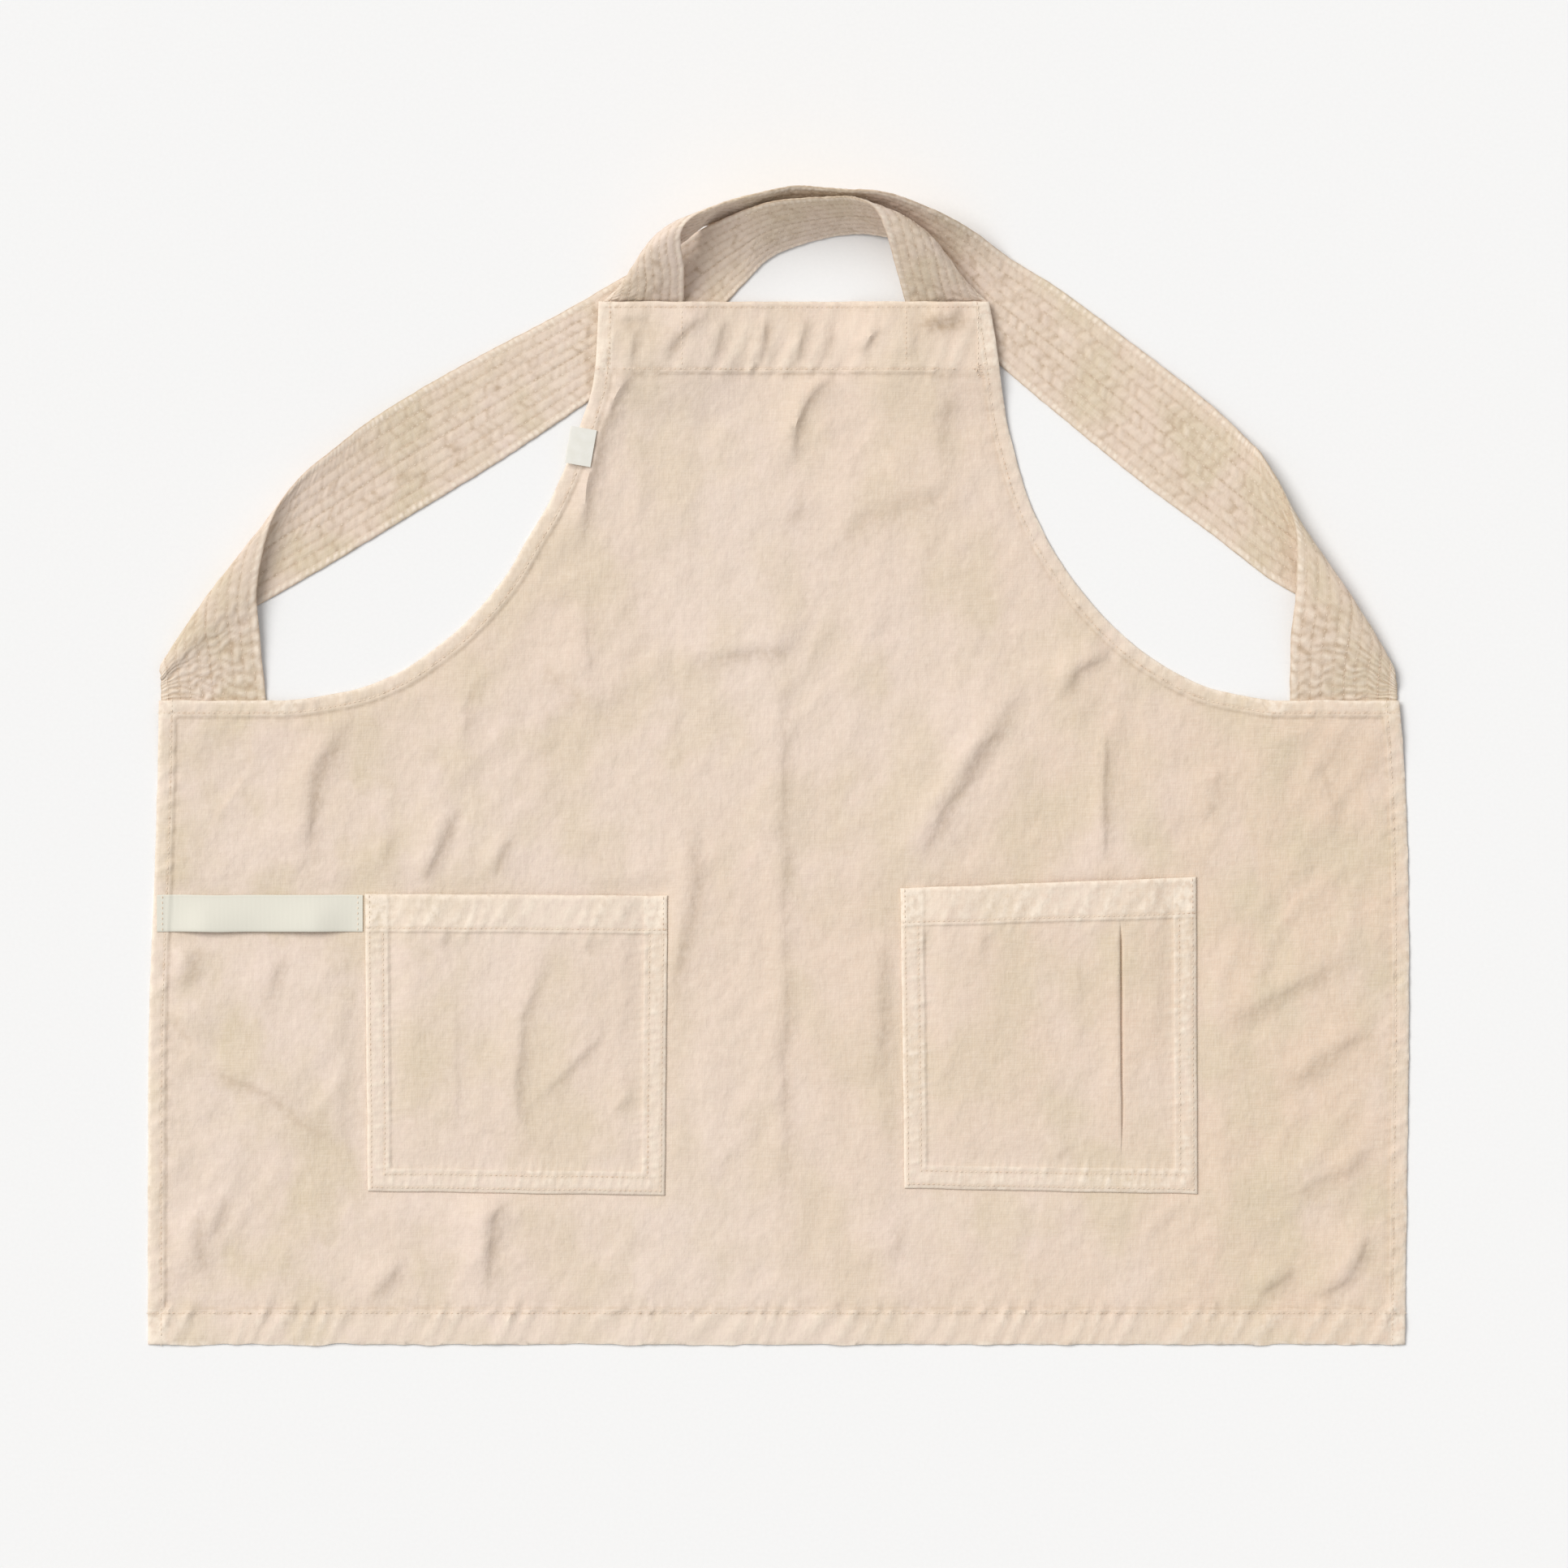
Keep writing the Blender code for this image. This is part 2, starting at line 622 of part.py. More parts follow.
def pocket_belly(u, v):
    """How far the pocket stands off the body: nothing at its seams, most in the middle of its mouth."""
    aside = min(u, 1.0 - u) - POCKET_SEAM / POCKET_WIDTH
    above = v - POCKET_SEAM / POCKET_HEIGHT
    share_across = smooth(between(aside, 0.0, POCKET_SLOPE))
    share_up = smooth(between(above, 0.0, 2.0 * POCKET_SLOPE))
    return POCKET_BELLY * share_across * share_up


def pocket_thickness(u, v, pen_fold):
    """Double cloth in the seams and the top band, and a pleat at the pen fold."""
    aside = min(u, 1.0 - u) * POCKET_WIDTH
    above = v * POCKET_HEIGHT
    below = (1.0 - v) * POCKET_HEIGHT
    double = max(
        1.0 - between(aside, POCKET_SEAM, POCKET_SEAM + HEM_STEP),
        1.0 - between(above, POCKET_SEAM, POCKET_SEAM + HEM_STEP),
        1.0 - between(below, POCKET_BAND, POCKET_BAND + HEM_STEP),
    )
    thick = CLOTH + (HEM_CLOTH - CLOTH) * double
    if pen_fold and u == PEN_FOLD_ACROSS:
        middle = 0.5 * (PEN_FOLD_FROM + PEN_FOLD_TO)
        half = 0.5 * (PEN_FOLD_TO - PEN_FOLD_FROM)
        thick += PEN_FOLD * between(-abs(v - middle), -2.0 * half, -half)
    return thick


def make_pocket(row, top):
    middle, across, upward = pocket_frame(row["side"], row["turn"])
    u_steps, v_steps = pocket_steps(row)
    low = []
    high = []
    for v in v_steps:
        for u in u_steps:
            x, y = middle + across * (u - 0.5) * POCKET_WIDTH + upward * (v - 0.5) * POCKET_HEIGHT
            bottom = height_on(top, x, y) + SEAT + pocket_belly(u, v)
            low.append((x, y, bottom))
            high.append((x, y, bottom + pocket_thickness(u, v, row["pen_fold"])))
    points, solid = slab(np.array(low), np.array(high), grid_faces(len(v_steps), len(u_steps)))
    return new_object(row["name"], points, solid, LINEN, CLOTH_ROUGHNESS)


def make_towel_loop(top):
    """The tape bows up between the side hem and the pocket."""
    y_high = SIDE_LENGTH - POCKET_DROP - HEM_STEP
    side_share = y_high / SIDE_LENGTH
    start = -SKIRT_WIDTH / 2.0 + (SKIRT_WIDTH - SIDE_TOP_WIDTH) / 2.0 * side_share + GAP
    end = -SKIRT_WIDTH / 2.0 + POCKET_INSET - 2.0 * SEAT
    low = []
    high = []
    shares = np.concatenate(([0.0, SIDE_HEM / (end - start)], np.linspace(LOOP_LATTICE, 1.0, LOOP_CELLS)))
    for depth in (1.0, 0.5, 0.0):
        y = y_high - depth * LOOP_WIDTH
        for share in shares:
            x = start + (end - start) * share
            seat = height_on(top, x, y) + SEAT
            rise = smooth(between(min(share, 1.0 - share), LOOP_HELD, LOOP_FREE))
            bottom = seat + LOOP_BOW * rise
            low.append((x, y, bottom))
            high.append((x, y, bottom + LOOP_TAPE))
    faces = grid_faces(3, len(shares))
    points, solid = slab(np.array(low), np.array(high), faces)
    return new_object("towel_loop", points, solid, TAPE_GREY, TAPE_ROUGHNESS)


def make_label_tag(top):
    """A folded tag that lies on the armhole's band with its fold just past the edge."""
    hole = armhole(-1.0)
    y = BODY_LENGTH + (SIDE_LENGTH - BODY_LENGTH) * TAG_DOWN
    x = float(np.interp(-y, -hole[:, 1], hole[:, 0]))
    angle = math.radians(TAG_TURN)
    across = np.array((math.cos(angle), math.sin(angle)))
    upward = np.array((-math.sin(angle), math.cos(angle)))
    places = []
    for v in np.linspace(-0.5, 0.5, TAG_CELLS):
        for u in np.linspace(0.0, 1.0, TAG_CELLS):
            place = np.array((x, y)) + across * (u * TAG_WIDTH - TAG_OVERHANG) + upward * v * TAG_HEIGHT
            places.append(place)
    heights = [height_on(top, *place) for place in places]
    seat = max(heights) + SEAT
    low = [(place[0], place[1], seat) for place in places]
    high = [(place[0], place[1], seat + TAG_CLOTH) for place in places]
    points, solid = slab(np.array(low), np.array(high), grid_faces(TAG_CELLS, TAG_CELLS))
    return new_object("label_tag", points, solid, TAG_WHITE, TAPE_ROUGHNESS)


def centre_on_origin(objects):
    """Moves every mesh so that the whole stands on z = 0 round the origin."""
    low = np.full(3, np.inf)
    high = np.full(3, -np.inf)
    for made in objects:
        points = np.array([tuple(vertex.co) for vertex in made.data.vertices])
        low = np.minimum(low, points.min(axis=0))
        high = np.maximum(high, points.max(axis=0))
    shift = Vector((-(low[0] + high[0]) / 2.0, -(low[1] + high[1]) / 2.0, -low[2]))
    for made in objects:
        for vertex in made.data.vertices:
            vertex.co += shift


def main():
    clear_scene()
    body, top = make_body()
    objects = [body]
    objects.append(make_strap("strap_left", LEFT_STRAP))
    objects.append(make_strap("strap_right", RIGHT_STRAP))
    for row in rows_of(POCKET_COLUMNS, POCKETS):
        objects.append(make_pocket(row, top))
    objects.append(make_towel_loop(top))
    objects.append(make_label_tag(top))
    centre_on_origin(objects)


main()
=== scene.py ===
"""Looks for a smock apron of washed linen, laid flat face up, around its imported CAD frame.

All lengths are in metres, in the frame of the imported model: the bib points to +Y and the cloth's face
to +Z. Places on the apron are given in plan shares, as in the part's source: s runs across (1 at a bib
corner, 2 at a strap's inner edge at the side, 3 at the side edge) and t runs up (0 at the hem, 1 at the
side's top, 2 at the bib's top, 3 at the crest of the straps).
"""

import math

import bpy
import numpy as np
from bpy.props import FloatProperty, FloatVectorProperty, PointerProperty
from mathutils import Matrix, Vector, kdtree, noise
from mathutils.geometry import delaunay_2d_cdt


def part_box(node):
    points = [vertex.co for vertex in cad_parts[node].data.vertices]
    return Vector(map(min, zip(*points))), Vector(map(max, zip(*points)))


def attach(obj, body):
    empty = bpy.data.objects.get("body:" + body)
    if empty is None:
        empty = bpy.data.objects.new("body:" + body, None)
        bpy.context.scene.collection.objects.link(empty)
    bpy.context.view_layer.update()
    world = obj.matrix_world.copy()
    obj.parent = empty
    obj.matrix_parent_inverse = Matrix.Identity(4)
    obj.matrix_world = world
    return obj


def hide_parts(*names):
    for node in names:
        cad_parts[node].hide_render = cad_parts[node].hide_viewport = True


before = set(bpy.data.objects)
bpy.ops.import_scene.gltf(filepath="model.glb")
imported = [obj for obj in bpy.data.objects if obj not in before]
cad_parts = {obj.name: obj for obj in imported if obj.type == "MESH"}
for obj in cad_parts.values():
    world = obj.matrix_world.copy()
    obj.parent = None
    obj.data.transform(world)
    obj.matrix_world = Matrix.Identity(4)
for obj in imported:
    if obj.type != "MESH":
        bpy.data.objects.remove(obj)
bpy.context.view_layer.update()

bl_info = {
    "name": "Smock Apron",
    "version": (1, 0, 0),
    "blender": (4, 5, 0),
    "location": "3D View > Sidebar > Apron",
    "description": "Dresses a packed smock apron in washed linen, quilted straps and stitching",
    "category": "Add Mesh",
}

BODY_LOW, BODY_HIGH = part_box("apron_body")
LOOP_LOW, LOOP_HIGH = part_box("towel_loop")
TAG_LOW, TAG_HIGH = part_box("label_tag")
MM = 0.001
CM = 0.01
UPWARD = (0.0, 0.0, 1.0)

# Driving sizes of the body, as in the part's source
SKIRT_WIDTH = BODY_HIGH.x - BODY_LOW.x
SIDE_TOP_WIDTH = 0.880
SIDE_LENGTH = 0.457
BODY_LENGTH = 0.740
BIB_WIDTH = 0.277
BIB_SHIFT = 0.0105
NECK_RISE = 0.080
FOOT = BODY_HIGH.y - BODY_LENGTH
SIDE_TOP = FOOT + SIDE_LENGTH

# Hems and bands: their widths
FOOT_HEM = 0.0245
SIDE_HEM = 0.0115
BIB_HEM = 0.050
ARMHOLE_BAND = 0.011

# How far the stitches lie inside a hem's inner edge, and the bib's second seam from its top edge
STITCH_INSET = 0.0022
TOP_SEAM = 0.0040

# The step down from a hem to single cloth, and how far from its edge the cloth is rounded
HEM_STEP = 0.0012
EDGE_ROUND = 0.0020

# The height of the waves in the hems' edges, at the foot and elsewhere, and the laid foot's shift across
FOOT_RIPPLE = 0.0013
EDGE_RIPPLE = 0.0004
FOOT_SHIFT = -0.0018

# Straps: sizes, the sewn ends under the cloth, the seam's share of the width, the channels between the
# stitch rows, and how far apart the pits, the oversewn edge's stitches and the gathers at the side root are
STRAP_WIDTH = 0.0745
STRAP_BIB_WIDTH = 0.059
STRAP_CLOTH = 0.0024
STRAP_RISE = 0.055
SEWN_AT_SIDE = 0.009
SEWN_AT_BIB = 0.040
STRAP_SEAM = 0.075
STRAP_CHANNELS = 8
QUILT_PIT = 0.0052
EDGE_STITCH = 0.0047
ROOT_GATHER = 0.0066

# Pockets: sizes, places, the top band, the seam and its two rows of stitches, and how far they stand proud
POCKET_WIDTH = 0.2125
POCKET_HEIGHT = 0.212
POCKET_DROP = 0.136
POCKET_INSET = 0.147
POCKET_BAND = 0.0265
POCKET_SEAM = 0.016
POCKET_ROWS = (0.0030, 0.0125)
POCKET_ROW_WIDTH = 0.0011
POCKET_BELLY = 0.0022

# The pen fold: its share across the right pocket, and its ends as shares up it
PEN_FOLD_ACROSS = 0.74
PEN_FOLD_SPAN = (0.15, 0.86)

# The tag: the size that shows, its turn, half its cloth's thickness, and half the gap between its layers
TAG_WIDTH = 0.0185
TAG_HEIGHT = 0.0265
TAG_TURN = -10.0
TAG_HALF = 0.00016
TAG_GAP = 0.00035

# The towel loop's thickness, and how far its stitch rows lie from its two ends
TAPE_THICKNESS = 0.0008
TAPE_ROWS = (0.0040, 0.0035)

# How far a fold wanders from its drawn line and over what distance, how much wider its gentle side is than
# its steep one, and how strongly painted shade darkens the colour down the steep side
FOLD_WANDER = 0.0032
WANDER_CELL = 0.027
FOLD_BACK = 3.2
FOLD_SHADE = 0.34

# The depth of a row of stitches as a share of the hem's thickness, and the thread's height above the cloth
# as a share of its own thickness
GROOVE_DEPTH = 0.12
THREAD_PROUD = 0.25

# The clearance of one cloth on another, and how the cloth rises over what lies under it
SEAT = 0.0004
LIFT_MARGIN = 0.014
LIFT_RAMP = 0.026
STRAP_MARGIN = 0.005
STRAP_RAMP = 0.048

# Mesh steps
CELL = 0.0042
HEM_CELL = 0.0027
STRAP_CELL = 0.0015
STRAP_ACROSS = 60
POCKET_CELL = 0.0017

# The wave texture's scale at which it repeats once in each unit
ONE_WAVE = math.pi / 10.0

# The floor's side, and how far the camera sees
FLOOR_SIDE = 60.0
SIGHT = 200.0

# An edge of the body: its line, its hem's width, how strong its gathers are, from one to the next and their
# slant
EDGE_COLUMNS = ("line", "hem", "pucker", "wave", "lean")

# The armholes' edges at shares of the way down them, as shares of the way out from the bib to the root
ARMHOLE_COLUMNS = ("down", "left_out", "right_out")
ARMHOLE = (
    (0.00, 0.000, 0.000),
    (0.10, 0.006, 0.022),
    (0.20, 0.015, 0.040),
    (0.30, 0.051, 0.058),
    (0.40, 0.093, 0.091),
    (0.50, 0.146, 0.132),
    (0.60, 0.216, 0.193),
    (0.70, 0.288, 0.278),
    (0.80, 0.392, 0.388),
    (0.87, 0.491, 0.491),
    (0.93, 0.599, 0.612),
    (0.97, 0.718, 0.730),
    (0.993, 0.860, 0.870),
)

# How far the laid cloth's sides bow outwards, in millimetres, at shares of the way down them
SIDE_COLUMNS = ("down", "left_bow", "right_bow")
SIDE_BOWS = (
    (0.00, 0.0, 0.0),
    (0.10, 0.0, 3.2),
    (0.25, 0.9, 5.2),
    (0.50, 3.2, 4.9),
    (0.75, 1.9, 2.4),
    (1.00, 0.0, 0.0),
)

# Each strap's cross lines from its side root to its bib root, after the part's source: a few rows near the
# neck are moved by some millimetres. The low edge has a place in plan shares. The high edge lies from it
# along aim, in degrees, by reach, in strap widths. low and high are their heights in strap rises. out and up
# bow the line between them, in strap widths.
STRAP_COLUMNS = ("s", "t", "aim", "reach", "low", "high", "out", "up")
LEFT_STRAP = (
    (-2.98, 1.000, 0, 1.00, 0.00, 0.00, 0.00, 0.00),
    (-2.98, 1.045, 32, 1.11, 0.02, 0.13, 0.02, 0.03),
    (-2.98, 1.061, 44, 1.31, 0.07, 0.22, 0.05, 0.05),
    (-2.91, 1.102, 53, 1.70, 0.06, 0.27, 0.06, 0.02),
    (-2.15, 1.224, 69, 1.41, 0.00, 0.22, 0.02, -0.05),
    (-1.80, 1.344, 87, 1.18, 0.00, 0.18, 0.00, -0.03),
    (-1.56, 1.466, 109, 1.07, 0.00, 0.12, 0.00, -0.01),
    (-1.27, 1.615, 122, 1.05, 0.00, 0.05, 0.00, 0.00),
    (-0.95, 1.784, 121, 0.93, 0.00, 0.00, 0.00, 0.00),
    (-0.54, 1.916, 118, 0.89, 0.00, 0.01, 0.00, 0.00),
    (-0.37, 1.986, 114, 0.84, 0.00, 0.09, 0.00, -0.03),
    (-0.26, 2.150, 106, 0.742, 0.00, 0.46, 0.00, -0.08),
    (-0.08, 2.430, 98, 0.55, 0.00, 0.88, 0.00, -0.06),
    (0.28, 2.600, 118, 0.44, 0.00, 0.96, 0.00, -0.04),
    (0.56, 2.530, 140, 0.74, 0.14, 0.97, -0.03, -0.03),
    (0.78, 2.270, 140, 1.09, 0.18, 0.92, -0.18, 0.02),
    (0.91, 2.100, 146, 1.22, 0.11, 0.78, -0.11, 0.11),
    (0.967, 2.03, 158, 1.13, 0.08, 0.45, -0.03, 0.09),
    (0.996, 2.00, 180, 1.00, 0.07, 0.07, 0.00, 0.00),
)
RIGHT_STRAP = (
    (2.98, 1.000, 180, 1.02, 0.00, 0.00, 0.00, 0.00),
    (2.98, 1.030, 155, 1.13, 0.02, 0.13, -0.02, 0.03),
    (2.97, 1.050, 140, 1.28, 0.07, 0.22, -0.05, 0.05),
    (2.90, 1.095, 126, 1.56, 0.06, 0.27, -0.07, 0.02),
    (2.45, 1.204, 115, 1.41, 0.00, 0.22, -0.01, -0.05),
    (1.93, 1.300, 95, 1.26, 0.00, 0.18, 0.00, -0.03),
    (1.72, 1.423, 66, 1.00, 0.00, 0.12, 0.00, -0.01),
    (1.50, 1.547, 52, 1.06, 0.00, 0.06, 0.00, 0.00),
    (1.20, 1.734, 53, 1.04, 0.00, 0.02, 0.00, 0.00),
    (1.03, 1.845, 53, 1.00, 0.00, 0.00, 0.00, 0.00),
    (0.89, 1.922, 60, 0.90, 0.00, 0.04, 0.00, 0.00),
    (0.78, 2.000, 66, 0.79, 0.00, 0.28, 0.00, -0.05),
    (0.67, 2.300, 74, 0.60, 0.00, 0.62, 0.00, -0.08),
    (0.46, 2.650, 84, 0.36, 0.00, 0.90, 0.00, -0.05),
    (0.20, 2.680, 84, 0.37, 0.00, 0.95, 0.00, -0.04),
    (-0.06, 2.630, 70, 0.50, 0.00, 0.95, 0.00, -0.03),
    (-0.26, 2.610, 58, 0.52, 0.04, 0.96, 0.02, -0.02),
    (-0.44, 2.680, 36, 0.47, 0.19, 0.96, 0.05, 0.00),
    (-0.585, 2.505, 43, 0.64, 0.27, 0.95, 0.03, -0.03),
    (-0.76, 2.290, 46, 0.80, 0.17, 0.90, 0.15, 0.02),
    (-0.88, 2.120, 41, 0.92, 0.12, 0.78, 0.11, 0.11),
    (-0.95, 2.035, 20, 0.96, 0.075, 0.44, 0.00, 0.06),
    (-0.985, 2.00, 0, 0.99, 0.07, 0.07, 0.00, 0.00),
)

# The rows of those tables between which the cloth of the bib lies over the strap
LEFT_UNDER_BIB = (7, 11)
RIGHT_UNDER_BIB = (8, 11)

# Soft folds in the laid cloth. Each follows its places, in centimetres, with its steep side to the left of
# that direction. Its height and the half width of the steep side are in millimetres.
BODY_FOLDS = (
    (((-29.0, 4.1), (-32.4, -0.1), (-33.6, -8.5)), 1.50, 8.0),
    (((-21.5, 7.6), (-21.9, 4.3), (-22.5, 1.0)), 0.60, 6.0),
    (((-22.2, -2.3), (-24.6, -7.0), (-25.5, -8.8)), 1.00, 6.0),
    (((-27.1, -3.9), (-27.8, -5.8), (-28.3, -7.8)), 0.50, 5.0),
    (((-18.9, -4.6), (-19.4, -6.0), (-20.2, -8.1)), 0.90, 6.0),
    (((-13.0, 2.9), (-15.0, 5.5), (-17.6, 7.7)), 0.80, 11.0),
    (((-13.7, 12.2), (-13.5, 8.9), (-13.2, 5.5)), 0.30, 3.0),
    (((-6.3, -3.2), (-5.9, -9.3), (-7.1, -13.9), (-7.6, -18.7)), 0.90, 9.0),
    (((-18.1, -30.2), (-20.2, -32.4), (-20.6, -38.0)), 1.40, 7.0),
    (((-30.5, -27.6), (-36.7, -23.2), (-42.6, -20.7)), 1.00, 8.0),
    (((-41.2, -19.9), (-42.3, -18.6), (-43.3, -17.3)), 0.80, 6.0),
    (((-41.2, -12.4), (-41.7, -14.1), (-42.0, -15.8)), 0.90, 9.0),
    (((-35.0, -12.8), (-35.4, -15.0), (-36.4, -17.3)), 0.60, 8.0),
    (((-39.2, -30.1), (-39.6, -32.0), (-40.2, -33.7)), 0.80, 6.0),
    (((-41.4, -30.8), (-40.9, -33.7), (-41.1, -37.2)), 0.90, 8.0),
    (((-26.3, -35.0), (-27.6, -36.7), (-29.5, -38.2)), 0.80, 6.0),
    (((2.9, 8.2), (-1.7, 8.0), (-7.5, 7.1)), 0.80, 9.0),
    (((-41.3, -5.1), (-37.4, 0.7), (-39.7, 2.6)), 0.35, 3.0),
    (((-7.4, 28.2), (-10.1, 28.0), (-12.2, 24.3), (-13.1, 20.8), (-14.2, 14.7)), 1.80, 5.5),
    (((4.4, 28.3), (2.1, 25.7), (1.4, 23.3), (1.3, 21.0)), 1.50, 5.0),
    (((1.9, 20.2), (1.4, 18.4), (0.3, 16.4)), 0.60, 11.0),
    (((11.9, 27.8), (11.9, 25.1), (11.5, 21.6)), 0.70, 8.0),
    (((13.8, 19.5), (7.4, 18.2), (3.5, 15.3)), 0.70, 12.0),
    (((18.2, 6.3), (13.8, -0.1), (10.8, -5.5), (10.1, -8.8)), 1.60, 9.0),
    (((24.0, 7.9), (21.5, 6.5), (19.6, 4.3)), 1.40, 7.0),
    (((23.2, 4.4), (23.3, -2.0), (23.3, -8.1)), 0.80, 3.5),
    (((31.3, 0.3), (31.0, -1.7), (30.2, -4.2)), 0.60, 8.0),
    (((37.6, 1.3), (39.5, -3.2), (39.1, -6.6)), 0.45, 5.0),
    (((42.6, -5.5), (42.0, -3.5), (40.6, -1.4)), 0.40, 4.0),
    (((42.6, -12.4), (38.0, -15.1), (34.6, -17.0), (30.4, -18.3)), 0.90, 9.0),
    (((42.9, -18.3), (39.6, -20.4), (35.3, -23.2)), 0.90, 9.0),
    (((42.6, -26.7), (39.2, -29.3), (34.7, -30.9)), 0.80, 8.0),
    (((42.6, -32.3), (40.6, -36.0), (37.3, -38.3)), 1.30, 7.0),
    (((36.7, -35.2), (35.4, -36.6), (33.9, -37.9)), 1.00, 6.0),
    (((7.3, -11.2), (7.6, -19.3), (6.5, -23.4)), 0.80, 10.0),
    (((8.3, -31.7), (8.5, -33.4), (8.3, -35.4)), 0.60, 7.0),
    (((0.5, 14.7), (0.4, 2.6), (0.5, -11.8), (0.6, -38.9)), 0.55, 6.0),
)
BIB_HEM_FOLDS = (
    (((-1.0, 32.2), (-0.9, 30.2), (-1.0, 28.3)), 1.00, 4.5),
    (((2.1, 32.5), (1.7, 30.7), (1.4, 28.5)), 0.90, 4.5),
    (((7.6, 31.6), (6.5, 30.2), (5.2, 28.8)), 1.00, 5.0),
    (((-4.8, 32.2), (-7.5, 30.0), (-7.5, 28.3)), 1.10, 5.0),
    (((-9.8, 31.4), (-10.1, 30.0), (-10.4, 28.5)), 0.80, 5.0),
    (((13.4, 31.9), (11.6, 31.4), (9.9, 31.7)), 1.10, 6.0),
    (((-8.6, 31.9), (-10.4, 31.4), (-12.2, 31.6)), 0.60, 6.0),
    (((-3.6, 32.0), (-4.0, 30.2), (-4.3, 28.5)), 0.50, 5.0),
    (((10.1, 31.1), (9.7, 30.0), (9.1, 28.5)), 0.60, 5.0),
    (((4.0, 31.4), (3.7, 30.0), (3.3, 28.5)), 0.50, 5.0),
)
LEFT_POCKET_FOLDS = (
    (((-15.8, -12.1), (-17.7, -17.7), (-18.3, -23.2), (-17.7, -26.2), (-18.7, -28.1)), 1.20, 7.0),
    (((-11.5, -18.3), (-14.4, -21.2), (-17.3, -24.6)), 0.90, 6.0),
    (((-10.1, -23.0), (-10.9, -23.9), (-12.1, -24.6)), 0.60, 5.0),
    (((-23.0, -11.8), (-23.5, -12.4), (-24.2, -13.0)), 0.90, 5.0),
    (((-12.7, -12.0), (-13.1, -12.7), (-13.7, -13.5)), 0.70, 5.0),
    (((-22.7, -15.8), (-22.8, -20.4), (-22.8, -27.4)), 0.35, 4.0),
    (((-18.4, -8.9), (-18.8, -10.1), (-19.1, -11.5)), 0.50, 5.0),
)
RIGHT_POCKET_FOLDS = (
    (((10.9, -11.2), (10.6, -12.1), (10.4, -13.5)), 0.60, 5.0),
    (((14.7, -11.2), (14.5, -12.4), (14.4, -14.1)), 0.50, 5.0),
    (((21.0, -26.8), (20.4, -27.5), (19.5, -28.1)), 0.60, 5.0),
    (((21.4, -11.8), (21.4, -17.6), (21.4, -20.4)), 0.30, 4.0),
)

# Painted shade in the dips where the sewn straps pull the bib in: place and half sizes in centimetres, and
# how much darker it is painted
PULLED_SHADE = (
    ((11.6, 31.5), (1.9, 0.75), 0.75),
    ((-8.2, 30.6), (2.2, 1.10), 0.22),
    ((-11.6, 31.0), (1.5, 1.10), 0.20),
)

# The pockets: their turn is in degrees, as in the part's source, and their corners as they lie are in
# centimetres, in the order lower left, lower right, upper left, upper right
LEFT_CORNERS = ((-29.2, -30.1), (-8.1, -30.4), (-29.4, -9.0), (-7.9, -9.1))
RIGHT_CORNERS = ((8.9, -29.9), (29.7, -30.3), (8.6, -8.6), (29.6, -7.8))
POCKET_COLUMNS = ("name", "side", "turn", "folds", "pen_fold", "corners")
POCKETS = (
    ("pocket_left", -1, -0.3, LEFT_POCKET_FOLDS, False, LEFT_CORNERS),
    ("pocket_right", 1, 1.1, RIGHT_POCKET_FOLDS, True, RIGHT_CORNERS),
)


def rows_of(columns, table):
    """Each row of a table as a dictionary under its columns' names."""
    return [dict(zip(columns, row)) for row in table]


def between(value, low, high):
    """How far a value is on its way from low to high, from 0 to 1."""
    return np.clip((value - low) / (high - low), 0.0, 1.0)


def smooth(share):
    """A share that starts and ends softly."""
    return share * share * (3.0 - 2.0 * share)


def ripple(angle):
    """From 0 to 1 and back, once in each whole turn."""
    return 0.5 + 0.5 * np.sin(angle)


def rounded(edge_away, reach, least):
    """The share of its thickness that cloth has near its edge."""
    return least + (1.0 - least) * np.sqrt(between(edge_away, 0.0, reach))


def turned(degrees):
    """The directions across and up a piece that is turned by an angle."""
    angle = math.radians(degrees)
    return np.array((math.cos(angle), math.sin(angle))), np.array((-math.sin(angle), math.cos(angle)))


def hump(distance, half_width):
    """1 at a line, falling to nothing beside it."""
    return np.exp(-((distance / half_width) ** 2))


def rough(u, v, seed):
    """Smooth noise from -1 to 1 at places given in cells across and along."""
    return np.array([noise.noise((a, b, seed)) for a, b in zip(u, v)])


def plan_x(s):
    """Across the apron, from plan shares to metres."""
    side = math.copysign(1.0, s)
    corner = BIB_WIDTH / 2.0
    edge = SIDE_TOP_WIDTH / 2.0 - side * BIB_SHIFT
    root = edge - STRAP_WIDTH
    across = np.interp(abs(s), (0.0, 1.0, 2.0, 3.0), (0.0, corner, root, edge))
    return BIB_SHIFT + side * across


def plan_y(t):
    """Up the apron, from plan shares to metres."""
    crest = BODY_LENGTH + NECK_RISE
    return FOOT + float(np.interp(t, (0.0, 1.0, 2.0, 3.0), (0.0, SIDE_LENGTH, BODY_LENGTH, crest)))


def eased(values, steps):
    """Values at even steps between a table's rows, on a smooth curve through them."""
    values = np.asarray(values, dtype=float)
    padded = np.vstack((2.0 * values[0] - values[1], values, 2.0 * values[-1] - values[-2]))
    share = (np.arange(steps) / steps)[:, None]
    square = share * share
    cube = square * share
    result = []
    for i in range(len(values) - 1):
        before, start, end, after = padded[i : i + 4]
        curve = 2.0 * start + (end - before) * share
        curve = curve + (2.0 * before - 5.0 * start + 4.0 * end - after) * square
        curve = curve + (3.0 * start - before - 3.0 * end + after) * cube
        result.append(0.5 * curve)
    result.append(values[-1:])
    return np.vstack(result)


